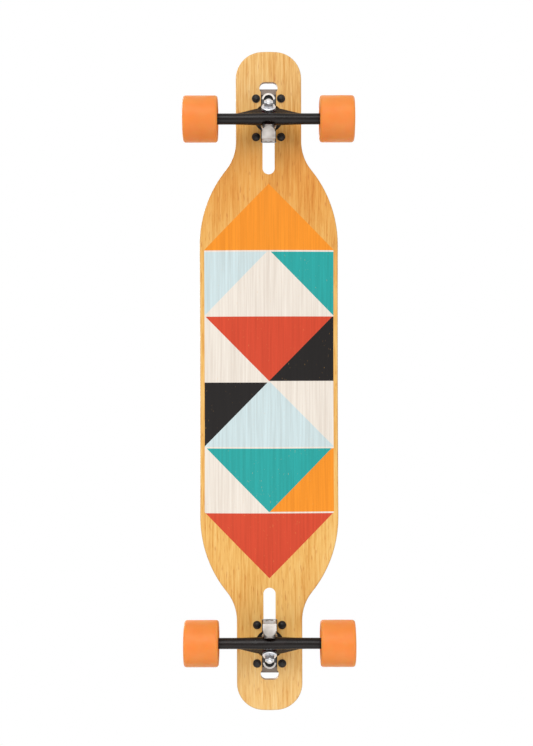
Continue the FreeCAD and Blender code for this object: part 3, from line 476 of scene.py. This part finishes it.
@dataclass(frozen=True)
class GripFinish(Finish):
    """Abrasive sheet: dark grit with paler grains, painted on as glints, that stand out of it."""

    name: str = "grip_sheet"
    ground: Colour = (27, 27, 28)
    grain: Colour = (82, 82, 84)
    scuff: Colour = (58, 57, 56)
    grains: float = 1500.0
    relief: float = 0.5 * MM

    def wire(self, wiring: Wiring) -> None:
        """Scatters pale grains over the ground as painted glints, and raises them.

        Args:
            wiring: node tree to fill.
        """
        grit = wiring.noise((self.grains,) * 3, 2.0, 0.7)
        dust = wiring.noise((9, 12, 9), 3.0)
        # Painted glint: the grains are lighter than the dark ground, as sparkle on the grit.
        painted_glint = wiring.span(grit, 0.56, 0.72)
        colour = wiring.mix(painted_glint, linear(self.ground), linear(self.grain))
        scuffed = wiring.span(dust, 0.5, 0.8, 0.0, 0.35)
        wiring.set(Base_Color=wiring.mix(scuffed, colour, linear(self.scuff)),
                   Roughness=wiring.span(grit, 0.4, 0.7, 0.95, 0.7), Specular_IOR_Level=0.35)
        wiring.bump(grit, self.relief, 0.8)


@dataclass(frozen=True)
class CoatFinish(Finish):
    """Dark coat on metal, with fine orange peel and rubbed patches."""

    name: str
    colour: Colour
    rubbed: Colour
    roughness: float = 0.36
    peel: float = 900.0
    gloss: float = 0.3
    patches: float = 38.0
    relief: float = 0.06 * MM

    def wire(self, wiring: Wiring) -> None:
        """Breaks up the coat's colour and gloss, and raises its orange peel.

        Args:
            wiring: node tree to fill.
        """
        peel = wiring.noise((self.peel,) * 3, 2.0)
        patch = wiring.noise((self.patches,) * 3, 3.0, 0.6)
        wiring.set(Base_Color=wiring.mix(wiring.span(patch, 0.42, 0.72), linear(self.colour),
                                         linear(self.rubbed)),
                   Roughness=wiring.span(patch, 0.3, 0.7, self.roughness - 0.06, self.roughness + 0.1),
                   Specular_IOR_Level=self.gloss)
        wiring.bump(peel, self.relief, 0.6)


@dataclass(frozen=True)
class CastingFinish(Finish):
    """Base plate: bare tumbled casting on its tower and round its toe, with painted shade laid on as black
    over flange and shank and as a darker tone under the toe.
    """

    name: str = "base_plate_casting"
    bare_top: float = 98.5 * MM
    toe_top: float = 100.9 * MM
    toe_from: float = 474.5 * MM
    # Painted shade: along this stretch the shank is painted black, as it lies in shade.
    shaded_shank: tuple[float, float] = (426.5 * MM, 465.5 * MM)
    bare: Colour = (176, 171, 166)
    dull: Colour = (140, 133, 127)
    # Darker tone that stands for the shade on the flange under the toe.
    shaded_toe: Colour = (116, 103, 94)
    # Black that stands for the shade on flange and shank.
    painted_shade_black: Colour = (30, 29, 30)
    sand: float = 1300.0
    clouds: float = 60.0
    relief: float = 0.08 * MM

    def wire(self, wiring: Wiring) -> None:
        """Parts the black painted shade from the bare metal by height, and at the toe by the place along
        the board.

        Args:
            wiring: node tree to fill.
        """
        axes = wiring.node("ShaderNodeSeparateXYZ")
        wiring.feed(axes.inputs[0], wiring.spot)
        along, height = wiring.math("ABSOLUTE", axes.outputs[0]), axes.outputs[2]
        inboard = wiring.math("LESS_THAN", along, self.toe_from)
        top = wiring.math("MULTIPLY_ADD", inboard, self.bare_top - self.toe_top, self.toe_top)
        # Painted shade: flange and shank take a black colour for the shade they lie in, inside the deck's
        # opening.
        shaded_shank = wiring.math("MULTIPLY", wiring.math("GREATER_THAN", along, self.shaded_shank[0]),
                            wiring.math("LESS_THAN", along, self.shaded_shank[1]))
        painted_shade_mask = wiring.math("MAXIMUM", shaded_shank, wiring.math("GREATER_THAN", height, top))
        sand = wiring.noise((self.sand,) * 3, 2.0)
        cloud = wiring.noise((self.clouds,) * 3, 3.0)
        metal = wiring.mix(wiring.span(cloud, 0.3, 0.75), linear(self.bare), linear(self.dull))
        # Painted shade: the flange under the toe is darker, as it lies deep in the deck's opening.
        shaded_toe = wiring.math("MULTIPLY", wiring.math("GREATER_THAN", height, self.bare_top), 0.9)
        metal = wiring.mix(shaded_toe, metal, linear(self.shaded_toe))
        wiring.set(Base_Color=wiring.mix(painted_shade_mask, metal, linear(self.painted_shade_black)),
                   Metallic=wiring.math("SUBTRACT", 1.0, painted_shade_mask),
                   Roughness=wiring.span(cloud, 0.3, 0.7, 0.30, 0.46))
        wiring.bump(sand, self.relief, 0.7)


@dataclass(frozen=True)
class PlatedFinish(Finish):
    """Bright plated or polished steel with faint handling marks."""

    name: str
    colour: Colour
    roughness: float = 0.2
    clouds: float = 220.0
    scratches: Spot = (2600, 300, 2600)
    dulled: float = 0.82
    relief: float = 0.02 * MM

    def wire(self, wiring: Wiring) -> None:
        """Clouds the plating's tone and gloss.

        Args:
            wiring: node tree to fill.
        """
        cloud = wiring.noise((self.clouds,) * 3, 3.0, 0.6)
        lines = wiring.noise(self.scratches, 1.0)
        tone = wiring.span(cloud, 0.35, 0.75, 0.0, 0.6)
        dull = tuple(round(share * self.dulled) for share in self.colour)
        wiring.set(Base_Color=wiring.mix(tone, linear(self.colour), linear(dull)), Metallic=1.0,
                   Roughness=wiring.span(cloud, 0.3, 0.7, self.roughness - 0.06, self.roughness + 0.1))
        wiring.bump(lines, self.relief, 0.4)


@dataclass(frozen=True)
class UrethaneFinish(Finish):
    """Cast urethane: light enters it a little, with a satin skin and soft mottling."""

    name: str
    colour: Colour
    deep: Colour
    glow: float = 0.9
    depth: float = 10 * MM
    roughness: float = 0.42
    bleed: Spot = (1.0, 0.35, 0.12)
    gloss: float = 0.2
    clouds: float = 45.0
    pores: float = 1400.0
    relief: float = 0.03 * MM

    def wire(self, wiring: Wiring) -> None:
        """Mottles the colour and lets light in under the skin.

        Args:
            wiring: node tree to fill.
        """
        cloud = wiring.noise((self.clouds,) * 3, 3.0)
        skin = wiring.noise((self.pores,) * 3, 1.0)
        colour = wiring.mix(wiring.span(cloud, 0.35, 0.7), linear(self.colour), linear(self.deep))
        wiring.set(Base_Color=colour,
                   Roughness=wiring.span(cloud, 0.3, 0.7, self.roughness - 0.05, self.roughness + 0.06),
                   Subsurface_Weight=self.glow, Subsurface_Radius=self.bleed, Subsurface_Scale=self.depth,
                   Specular_IOR_Level=self.gloss)
        wiring.bump(skin, self.relief, 0.5)


@dataclass(frozen=True)
class NylonFinish(Finish):
    """Moulded nylon with a fine sparked skin."""

    name: str
    colour: Colour
    pale: Colour
    clouds: float = 120.0
    pores: float = 1800.0
    relief: float = 0.05 * MM

    def wire(self, wiring: Wiring) -> None:
        """Adds the moulded skin to an even colour.

        Args:
            wiring: node tree to fill.
        """
        cloud = wiring.noise((self.clouds,) * 3, 3.0)
        skin = wiring.noise((self.pores,) * 3, 2.0)
        colour = wiring.mix(wiring.span(cloud, 0.4, 0.75), linear(self.colour), linear(self.pale))
        wiring.set(Base_Color=colour, Roughness=wiring.span(skin, 0.3, 0.7, 0.42, 0.6))
        wiring.bump(skin, self.relief, 0.6)


BAMBOO = BambooFinish()
GRIP = GripFinish()
CASTING = CastingFinish()
HANGER_COAT = CoatFinish("hanger_powder_coat", (18, 12, 10), (29, 21, 19), 0.24, gloss=0.2)
BLACK_OXIDE = CoatFinish("black_oxide", (23, 22, 22), (40, 37, 36), 0.42, 1600.0)
ZINC = PlatedFinish("bright_zinc", (234, 235, 238), 0.34)
RACE_STEEL = PlatedFinish("race_steel", (205, 207, 212), 0.14)
TYRE_URETHANE = UrethaneFinish("orange_urethane_cast", (255, 153, 74), (255, 147, 67))
BUSHING_URETHANE = UrethaneFinish("bushing_urethane", (92, 14, 20), (58, 9, 14), 0.1, 4 * MM, 0.36)
CORE_NYLON = NylonFinish("core_nylon", (26, 26, 27), (44, 44, 46))
INSERT_NYLON = NylonFinish("nut_insert_nylon", (216, 218, 214), (232, 233, 230))

NODE_FINISHES: dict[str, Finish] = {
    "deck": BAMBOO, "grip_tape": GRIP, "mounting_bolts": BLACK_OXIDE, "mounting_washers": BLACK_OXIDE,
    "mounting_lock_nuts": BLACK_OXIDE, "baseplate": CASTING, "pivot_cup": BUSHING_URETHANE, "kingpin": ZINC,
    "boardside_washer": ZINC, "roadside_washer": ZINC, "kingpin_nut": ZINC, "hanger": HANGER_COAT,
    "axle": ZINC, "axle_nuts": ZINC, "speed_washers": ZINC, "core": CORE_NYLON,
    "bearing_outer_races": RACE_STEEL, "bearing_inner_races": RACE_STEEL, "bearing_balls": RACE_STEEL,
    "bearing_shields": RACE_STEEL, "bearing_spacer": ZINC}


def grid_faces(rows: int, columns: int) -> np.ndarray:
    """Gives the quads of a grid of points that closes on itself both ways.

    Quad (i, j) joins points (i, j), (i + 1, j), (i + 1, j + 1) and (i, j + 1), counted round.

    Args:
        rows: number of points along the first parameter.
        columns: number of points along the second parameter.

    Returns:
        Point numbers, four to a quad.
    """
    row, column = np.meshgrid(np.arange(rows), np.arange(columns), indexing="ij")
    next_row, next_column = (row + 1) % rows, (column + 1) % columns
    corners = ((row, column), (next_row, column), (next_row, next_column), (row, next_column))
    return np.stack([i * columns + j for i, j in corners], axis=-1).reshape(-1, 4)


def lathe(profile: np.ndarray, steps: int) -> Mesh:
    """Carries a closed profile round an axis.

    Point (a, i) is (r cos a, r sin a, h) for the profile's radius r and height h at i.

    Args:
        profile: radius and height of each point, going round the section with the outside on its right.
        steps: number of stations round the axis.

    Returns:
        Points, and quads that face outwards.
    """
    turn = np.linspace(0, 2 * np.pi, steps, endpoint=False)[:, None]
    radius, height = profile[None, :, 0], profile[None, :, 1]
    height = np.broadcast_to(height, (steps, len(profile)))
    spots = np.stack([radius * np.cos(turn), radius * np.sin(turn), height], axis=-1)
    return spots.reshape(-1, 3), grid_faces(steps, len(profile))


def rounded(corners: np.ndarray, radii: Sequence[float], steps: int = 6) -> np.ndarray:
    """Rounds the corners of a closed section with arcs that bend evenly from side to side.

    Near a corner c the point is (1-t)^2 a + 2 t (1-t) c + t^2 b, where a and b lie on its two sides.

    Args:
        corners: points of the section.
        radii: how far along its sides each corner's rounding starts.
        steps: number of points on each rounding.

    Returns:
        Points of the rounded section.
    """
    before, after = np.roll(corners, 1, axis=0) - corners, np.roll(corners, -1, axis=0) - corners
    reach = np.asarray(radii, float)[:, None]
    start = corners + before / np.linalg.norm(before, axis=1, keepdims=True) * reach
    end = corners + after / np.linalg.norm(after, axis=1, keepdims=True) * reach
    t = np.linspace(0, 1, steps)[None, :, None]
    curve = (1 - t) ** 2 * start[:, None] + 2 * t * (1 - t) * corners[:, None] + t ** 2 * end[:, None]
    return curve.reshape(-1, 2)


@dataclass(frozen=True)
class Seat:
    """Place that a turned piece is laid on: its origin and its axis, in metres, in the model's frame."""

    origin: Spot
    axis: Spot

    def lay(self, spots: np.ndarray) -> np.ndarray:
        """Lays points made about the Z axis onto this seat.

        Args:
            spots: points about the Z axis.

        Returns:
            The points in the model's frame.
        """
        along = np.asarray(self.axis, float) / np.linalg.norm(self.axis)
        level = np.array((0.0, 1.0, 0.0)) if abs(along[1]) < 0.9 else np.array((1.0, 0.0, 0.0))
        first = np.cross(level, along)
        first /= np.linalg.norm(first)
        basis = np.stack([first, np.cross(along, first), along])
        return spots @ basis + np.asarray(self.origin)


def put_mesh(name: str, spots: np.ndarray, faces: np.ndarray) -> bpy.types.Object:
    """Puts points and faces into a new smooth object at the origin.

    Args:
        name: name of the piece.
        spots: points in the model's frame.
        faces: point numbers of the faces, all with as many corners.

    Returns:
        The new object, linked to the scene.
    """
    count, corners = faces.shape
    mesh = bpy.data.meshes.new(name)
    mesh.vertices.add(len(spots))
    mesh.vertices.foreach_set("co", np.ascontiguousarray(spots, np.float32).ravel())
    mesh.loops.add(count * corners)
    mesh.loops.foreach_set("vertex_index", np.ascontiguousarray(faces, np.int32).ravel())
    mesh.polygons.add(count)
    mesh.polygons.foreach_set("loop_start", np.arange(0, count * corners, corners, dtype=np.int32))
    mesh.update(calc_edges=True)
    mesh.validate()
    mesh.shade_smooth()
    piece = bpy.data.objects.new(name, mesh)
    bpy.context.scene.collection.objects.link(piece)
    return piece


def dress(piece: bpy.types.Object, finish: Finish) -> bpy.types.Object:
    """Gives a piece its finish.

    Args:
        piece: piece to dress.
        finish: finish to use.

    Returns:
        The piece.
    """
    piece.data.materials.clear()
    piece.data.materials.append(finish.material())
    LOG.info("%s: %s, %d faces", piece.name, finish.name, len(piece.data.polygons))
    return piece


def node_slots() -> dict[str, str]:
    """Gives the record's material slot of every CAD node."""
    return {row["node"]: row["material_slot"] for row in frame["record"]["subparts"]}


def node_bodies() -> dict[str, str]:
    """Gives the body that every CAD node rides on."""
    return {node: body for body, nodes in frame["record"]["behaviour"]["bodies"].items() for node in nodes}


SLOTS, BODIES = node_slots(), node_bodies()


def smooth_copy(node: str, finish: Finish, crease: float = 32.0) -> bpy.types.Object:
    """Stands a joined copy of a CAD node in its place, with smooth shading up to a crease.

    Args:
        node: name of the CAD node.
        finish: finish of the copy.
        crease: angle in degrees from which an edge stays sharp.

    Returns:
        The copy.
    """
    source = frame["nodes"][node].data
    spots = np.empty(len(source.vertices) * 3, np.float32)
    source.vertices.foreach_get("co", spots)
    corners = np.empty(len(source.loops), np.int32)
    source.loops.foreach_get("vertex_index", corners)
    spots = spots.reshape(-1, 3)
    _, first, back = np.unique(np.round(spots / WELD).astype(np.int64), axis=0, return_index=True,
                               return_inverse=True)
    faces = back.reshape(-1)[corners].reshape(-1, 3)
    kept = (faces[:, 0] != faces[:, 1]) & (faces[:, 1] != faces[:, 2]) & (faces[:, 2] != faces[:, 0])
    piece = put_mesh(node + "_dressed", spots[first], faces[kept])
    piece.data.set_sharp_from_angle(angle=math.radians(crease))
    even = piece.modifiers.new("even_shading", "WEIGHTED_NORMAL")
    even.keep_sharp = True
    dress(piece, finish)
    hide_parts(node)
    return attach(piece, BODIES[node])


def turned_piece(name: str, profile: np.ndarray, seat: Seat, steps: int = 64) -> bpy.types.Object:
    """Makes a ring from its section, in millimetres, and lays it on a seat.

    Args:
        name: name of the piece.
        profile: radius and height of the section's points.
        seat: where it goes.
        steps: number of stations round the axis.

    Returns:
        The new object.
    """
    spots, faces = lathe(profile * MM, steps)
    return put_mesh(name, seat.lay(spots), faces)


@dataclass
class Thread:
    """Screw thread on the bare end of a pin: a ridge that climbs by one pitch each turn."""

    name: str
    seat: Seat
    radius: float
    length: float
    pitch: float = 0.9
    height: float = 0.26
    body: str = "board"
    slot: str = "zinc_steel"
    turn_steps: int = 40
    pitch_steps: int = 8
    run_out: int = 4
    lift: float = 0.01
    sink: float = 0.3

    def build(self, finish: Finish) -> bpy.types.Object:
        """Makes the thread as a surface of turn and length.

        The radius is the pin's plus height times a triangle wave of s / pitch less the turn's share,
        and it sinks to the pin at both ends of the thread.

        Args:
            finish: finish of the thread.

        Returns:
            The dressed thread.
        """
        turns, stations = self.turn_steps, max(12, int(self.length / self.pitch * self.pitch_steps))
        share = np.linspace(0, 1, stations)[None, :]
        angle = np.linspace(0, 2 * np.pi, turns, endpoint=False)[:, None]
        wave = np.abs(((share * self.length / self.pitch - angle / (2 * np.pi)) % 1.0) * 2 - 1)
        fade = np.clip(np.minimum(share, 1 - share) * stations / self.run_out, 0, 1)
        radius = self.radius + self.lift + self.height * wave * fade
        inner = np.full((turns, 1), self.radius - self.sink)
        radius = np.concatenate([inner, radius, inner], axis=1)
        height = np.concatenate([[0.0], share[0], [1.0]])[None, :] * self.length
        height = np.broadcast_to(height, radius.shape)
        spots = np.stack([radius * np.cos(angle), radius * np.sin(angle), height], axis=-1).reshape(-1, 3)
        piece = put_mesh(self.name, self.seat.lay(spots * MM), grid_faces(turns, stations + 2))
        dress(piece, finish)
        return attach(piece, self.body)


@dataclass
class Deck:
    """Bamboo board with its grip sheet and the bolts that hold the trucks."""

    thickness: float = 11.5
    top: float = 99.6
    camber: float = 10.0
    concave: float = 9.0
    flat_from: float = 341.0
    concave_fade: float = 190.0
    half_width: float = 114.5

    def top_height(self, x: np.ndarray, y: np.ndarray) -> np.ndarray:
        """Gives the height of the top face: flat at the trucks, arched along X and hollow across Y between.

        Args:
            x: places along the board in millimetres.
            y: places across it in millimetres.

        Returns:
            Heights in millimetres.
        """
        def eased(share: np.ndarray) -> np.ndarray:
            """Rises from 0 to 1 along half a cosine wave."""
            return (1 - np.cos(np.pi * np.clip(share, 0, 1))) / 2

        inset = self.flat_from - np.abs(x)
        hollow = eased(inset / self.concave_fade) * (y / self.half_width) ** 2
        return self.top + self.camber * eased(inset / self.flat_from) + self.concave * hollow

    def build(self) -> None:
        """Dresses the board, its grip sheet and its bolts."""
        board = smooth_copy("deck", BAMBOO)
        spots = np.empty(len(board.data.vertices) * 3, np.float32)
        board.data.vertices.foreach_get("co", spots)
        x, y, z = spots.reshape(-1, 3).T / MM
        share = (z - self.top_height(x, y)) / self.thickness + 1
        ply = board.data.attributes.new("ply", "FLOAT", "POINT")
        ply.data.foreach_set("value", share.astype(np.float32))
        for node in ("grip_tape", "mounting_bolts", "mounting_washers", "mounting_lock_nuts"):
            smooth_copy(node, NODE_FINISHES[node])


@dataclass
class Truck:
    """Reverse-kingpin truck: hanger on an inclined steering axis between pivot cup and bushings."""

    end: End
    axle_x: float = 423.0
    axle_z: float = 37.5
    tilt: float = 50.0
    rake: float = 6.0
    ring_reach: float = 21.0
    kingpin_radius: float = 4.75
    bushing_radius: float = 11.0
    bushing_bore: float = 5.0
    bushing_steps: int = 72
    ring_gap: float = 0.04
    ring_wall: float = 1.5
    ring_crown: float = 1.2
    ring_foot: float = -0.3
    ring_edge: float = 0.45
    ring_top: float = 0.55
    ring_steps: int = 40
    bushing_swell: float = 0.35
    bushing_lip: float = 0.9
    boardside_span: tuple[float, float] = (-17.6, -3.6)
    roadside_span: tuple[float, float] = (3.6, 15.6)
    roadside_tip: float = 9.2
    nut_end: float = 26.1
    kingpin_tip: float = 29.1
    axle_radius: float = 4.0
    axle_nut_end: float = 122.5
    axle_tip: float = 124.5
    kingpin_thread_from: float = 0.4
    kingpin_bare: float = 1.3
    kingpin_pitch: float = 1.0
    axle_bare: float = 0.6
    axle_pitch: float = 0.8
    axle_ridge: float = 0.2

    def kingpin_seat(self, station: float) -> Seat:
        """Gives the seat at a station along the kingpin.

        Args:
            station: distance in millimetres from the ring's middle, outboard and down.

        Returns:
            The seat, with its axis outboard and down.
        """
        tilt, way = math.radians(self.tilt), self.end.value
        along = station - self.rake
        x = self.axle_x + math.sin(tilt) * along + math.cos(tilt) * self.ring_reach
        z = self.axle_z - math.cos(tilt) * along + math.sin(tilt) * self.ring_reach
        return Seat((way * x * MM, 0.0, z * MM), (way * math.sin(tilt), 0.0, -math.cos(tilt)))

    def bushing(self, which: str, span: tuple[float, float], near: float, far: float) -> None:
        """Makes a soft bushing that sits between the board and the hanger.

        Its section is a rounded trapezium from the bore to a side that swells by a sine between its ends.

        Args:
            which: the bushing's word in the node's name.
            span: stations of its ends along the kingpin.
            near: radius at its start.
            far: radius at its end.
        """
        node = "_".join((self.end.label, which, "bushing"))
        height = span[1] - span[0]
        rise = np.linspace(0, 1, 13)
        side = near + (far - near) * rise + self.bushing_swell * np.sin(np.pi * rise)
        lip = self.bushing_lip * (1 - np.sin(np.pi * rise) ** 0.35)
        outer = np.stack([side - lip, rise * height], axis=1)
        inner = np.stack([np.full(7, self.bushing_bore), np.linspace(height, 0, 7)], axis=1)
        piece = turned_piece(node + "_cast", np.concatenate([outer, inner]), self.kingpin_seat(span[0]),
                             self.bushing_steps)
        piece.data.set_sharp_from_angle(angle=math.radians(50))
        dress(piece, BUSHING_URETHANE)
        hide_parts(node)
        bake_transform(piece)

    def insert(self, name: str, seat: Seat, bore: float, body: str) -> None:
        """Adds the nylon ring that keeps a lock nut from turning.

        Args:
            name: name of the ring.
            seat: middle of the nut's outer face and its axis.
            bore: radius of the pin in millimetres.
            body: body that the nut rides on.
        """
        inner, outer, crown = bore + self.ring_gap, bore + self.ring_wall, bore + self.ring_crown
        section = np.array(((inner, self.ring_foot), (outer, self.ring_foot), (crown, self.ring_edge),
                            (inner, self.ring_top)))
        piece = turned_piece(name, rounded(section, (0.05, 0.1, 0.3, 0.1), 4), seat, self.ring_steps)
        dress(piece, INSERT_NYLON)
        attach(piece, body)

    def build(self) -> None:
        """Dresses the truck's metal and makes its bushings, threads and nut rings."""
        label, hanger = self.end.label, self.end.label + "_hanger"
        for piece in ("baseplate", "pivot_cup", "kingpin", "boardside_washer", "roadside_washer",
                      "kingpin_nut", "hanger", "axle", "axle_nuts", "speed_washers"):
            smooth_copy(label + "_" + piece, NODE_FINISHES[piece])
        self.bushing("boardside", self.boardside_span, self.bushing_radius, self.bushing_radius)
        self.bushing("roadside", self.roadside_span, self.bushing_radius, self.roadside_tip)
        self.insert(label + "_kingpin_nut_ring", self.kingpin_seat(self.nut_end), self.kingpin_radius,
                    "board")
        start = self.kingpin_seat(self.nut_end + self.kingpin_thread_from)
        Thread(label + "_kingpin_thread", start, self.kingpin_radius,
               self.kingpin_tip - self.nut_end - self.kingpin_bare, self.kingpin_pitch).build(ZINC)
        for hand in Hand:
            spot = (self.end.value * self.axle_x * MM, hand.value * self.axle_nut_end * MM,
                    self.axle_z * MM)
            seat = Seat(spot, (0.0, hand.value, 0.0))
            self.insert("_".join((label, hand.label, "axle_nut_ring")), seat, self.axle_radius, hanger)
            Thread("_".join((label, hand.label, "axle_thread")), seat, self.axle_radius,
                   self.axle_tip - self.axle_nut_end - self.axle_bare, self.axle_pitch, self.axle_ridge,
                   hanger).build(ZINC)


@dataclass
class Wheel:
    """Urethane tyre on a nylon core with two ball bearings."""

    end: End
    hand: Hand
    axle_x: float = 423.0
    axle_z: float = 37.5
    middle: float = 110.0
    radius: float = 37.5
    half_width: float = 28.0
    lip: float = 5.2
    brow: float = 6.5
    face_depth: float = 5.0
    core_radius: float = 21.53
    core_rim: float = 2.5
    core_low: float = -22.0
    core_high: float = 8.0
    brow_round: float = 1.2
    dish_round: float = 2.0
    back_round: float = 1.0
    bore_round: float = 0.4
    steps: int = 128

    def tyre(self) -> None:
        """Makes the tyre from its section: flat tread, round lips, dished faces and a bore for the core."""
        node = "_".join((self.end.label, self.hand.label, "tyre"))
        half, step = self.half_width, self.core_radius + self.core_rim
        brow = self.radius - self.brow
        corners = np.array(((self.radius, -half), (self.radius, half), (brow, half),
                            (step, half - self.face_depth), (self.core_radius, self.core_high),
                            (self.core_radius, self.core_low), (step, -half + self.face_depth),
                            (brow, -half)))
        section = rounded(corners, (self.lip, self.lip, self.brow_round, self.dish_round, self.bore_round,
                                    self.bore_round, self.back_round, self.brow_round), 12)
        spot = (self.end.value * self.axle_x * MM, self.hand.value * self.middle * MM, self.axle_z * MM)
        seat = Seat(spot, (0.0, self.hand.value, 0.0))
        piece = turned_piece(node + "_cast", section, seat, self.steps)
        piece.data.set_sharp_from_angle(angle=math.radians(40))
        dress(piece, TYRE_URETHANE)
        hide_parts(node)
        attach(piece, BODIES[node])

    def build(self) -> None:
        """Makes the tyre and dresses the core and the bearings."""
        self.tyre()
        for piece in ("core", "bearing_outer_races", "bearing_inner_races", "bearing_balls",
                      "bearing_shields", "bearing_spacer"):
            smooth_copy("_".join((self.end.label, self.hand.label, piece)), NODE_FINISHES[piece])


@dataclass(frozen=True)
class Lamp:
    """Far soft light, even over the whole board.

    It shines from its spot, as seen from the board's middle, fills its spread in degrees, which softens
    the shadows, and has its strength in watts per square metre.
    """

    name: str
    spot: Spot
    spread: float
    strength: float

    def build(self) -> None:
        """Sets the light."""
        data = bpy.data.lights.new(self.name, "SUN")
        data.angle = math.radians(self.spread)
        data.energy = self.strength
        lamp = bpy.data.objects.new(self.name, data)
        bpy.context.scene.collection.objects.link(lamp)
        lamp.location = self.spot
        lamp.rotation_euler = (-Vector(self.spot)).to_track_quat("-Z", "Y").to_euler()


@dataclass
class Studio:
    """White studio: a floor that shows from above only, soft light on both sides, and the camera below."""

    floor_half: float = 4.0
    floor_fade: float = 1.0
    floor_tone: float = 0.86
    shadow_reach: float = 0.16
    world_strength: float = 0.5
    camera_height: float = -2.2213
    camera_x: float = 0.0132
    camera_y: float = -0.0042
    camera_roll: float = 0.12
    pixel_focus: float = 1400.2
    sensor: float = 36.0
    lamps: tuple[Lamp, ...] = (Lamp("low_key", (1.5, -0.5, -2.0), 40.0, 1.52),
                               Lamp("low_fill", (-1.6, 0.5, -1.6), 50.0, 0.7),
                               Lamp("high_key", (0.6, -1.2, 2.0), 40.0, 1.5))

    def floor(self) -> None:
        """Lays a pale floor that takes shadows, with painted shade near the board from ambient occlusion,
        and fades out afar; only camera rays from above meet it.
        """
        half = self.floor_half
        spots = np.array(((-half, -half, 0.0), (half, -half, 0.0), (half, half, 0.0), (-half, half, 0.0)))
        floor = put_mesh("studio_floor", spots, np.array(((0, 1, 2, 3),)))
        wiring = Wiring("studio_floor")
        # Painted shade: ambient occlusion darkens the floor's colour under and beside the board.
        painted_contact_shade = wiring.node("ShaderNodeAmbientOcclusion", samples=12)
        painted_contact_shade.inputs["Color"].default_value = (*(self.floor_tone,) * 3, 1.0)
        painted_contact_shade.inputs["Distance"].default_value = self.shadow_reach
        wiring.set(Base_Color=painted_contact_shade.outputs["Color"], Roughness=0.9, Specular_IOR_Level=0.1)
        clear = wiring.node("ShaderNodeBsdfTransparent")
        far = wiring.node("ShaderNodeVectorMath", operation="LENGTH")
        wiring.feed(far.inputs[0], wiring.spot)
        near = wiring.span(far.outputs["Value"], self.floor_fade, self.floor_half, 1.0, 0.0)
        back = wiring.node("ShaderNodeNewGeometry").outputs["Backfacing"]
        seen = wiring.node("ShaderNodeLightPath").outputs["Is Camera Ray"]
        shown = wiring.math("MULTIPLY", seen, wiring.math("SUBTRACT", 1.0, back))
        shown = wiring.math("MULTIPLY", shown, near)
        blend = wiring.node("ShaderNodeMixShader")
        wiring.feed(blend.inputs[0], shown)
        wiring.feed(blend.inputs[1], clear.outputs[0])
        wiring.feed(blend.inputs[2], wiring.shader.outputs[0])
        wiring.feed(wiring.output.inputs["Surface"], blend.outputs[0])
        floor.data.materials.append(wiring.material)

    def world(self) -> None:
        """Sets an even sky, white to the camera, to gloss and through glass, and dimmer as a light."""
        world = bpy.data.worlds.new("studio")
        bpy.context.scene.world = world
        world.use_nodes = True
        tree = world.node_tree
        tree.nodes.clear()
        output = tree.nodes.new("ShaderNodeOutputWorld")
        sky = tree.nodes.new("ShaderNodeBackground")
        path = tree.nodes.new("ShaderNodeLightPath")
        seen = path.outputs["Is Camera Ray"]
        for kind in ("Is Glossy Ray", "Is Transmission Ray"):
            most = tree.nodes.new("ShaderNodeMath")
            most.operation = "MAXIMUM"
            tree.links.new(seen, most.inputs[0])
            tree.links.new(path.outputs[kind], most.inputs[1])
            seen = most.outputs[0]
        level = tree.nodes.new("ShaderNodeMapRange")
        tree.links.new(seen, level.inputs[0])
        level.inputs[3].default_value = self.world_strength
        level.inputs[4].default_value = 1.0
        sky.inputs["Color"].default_value = (1.0, 1.0, 1.0, 1.0)
        tree.links.new(level.outputs[0], sky.inputs["Strength"])
        tree.links.new(sky.outputs[0], output.inputs["Surface"])

    def camera(self) -> None:
        """Stands the camera under the board, looking straight up with the nose at the picture's top."""
        data = bpy.data.cameras.new("main_camera")
        data.sensor_width = self.sensor
        data.lens = self.sensor * self.pixel_focus / max(IMAGE_WIDTH, IMAGE_HEIGHT)
        camera = bpy.data.objects.new("main_camera", data)
        bpy.context.scene.collection.objects.link(camera)
        roll = math.radians(self.camera_roll)
        right, up = (-math.sin(roll), math.cos(roll), 0.0), (math.cos(roll), math.sin(roll), 0.0)
        columns = Matrix((right, up, (0.0, 0.0, -1.0))).transposed().to_4x4()
        place = Matrix.Translation((self.camera_x, self.camera_y, self.camera_height))
        camera.matrix_world = place @ columns
        bpy.context.scene.camera = camera

    def build(self) -> None:
        """Sets floor, sky, lamps and camera."""
        self.floor()
        self.world()
        for lamp in self.lamps:
            lamp.build()
        self.camera()
        bpy.context.scene.view_settings.view_transform = "Standard"


def main() -> None:
    """Builds the studio and every sub-assembly in order."""
    logging.basicConfig(level=logging.INFO, format="%(name)s %(message)s")
    Studio().build()
    Deck().build()
    for end in End:
        Truck(end).build()
        for hand in Hand:
            Wheel(end, hand).build()


if __name__ == "__main__":
    main()
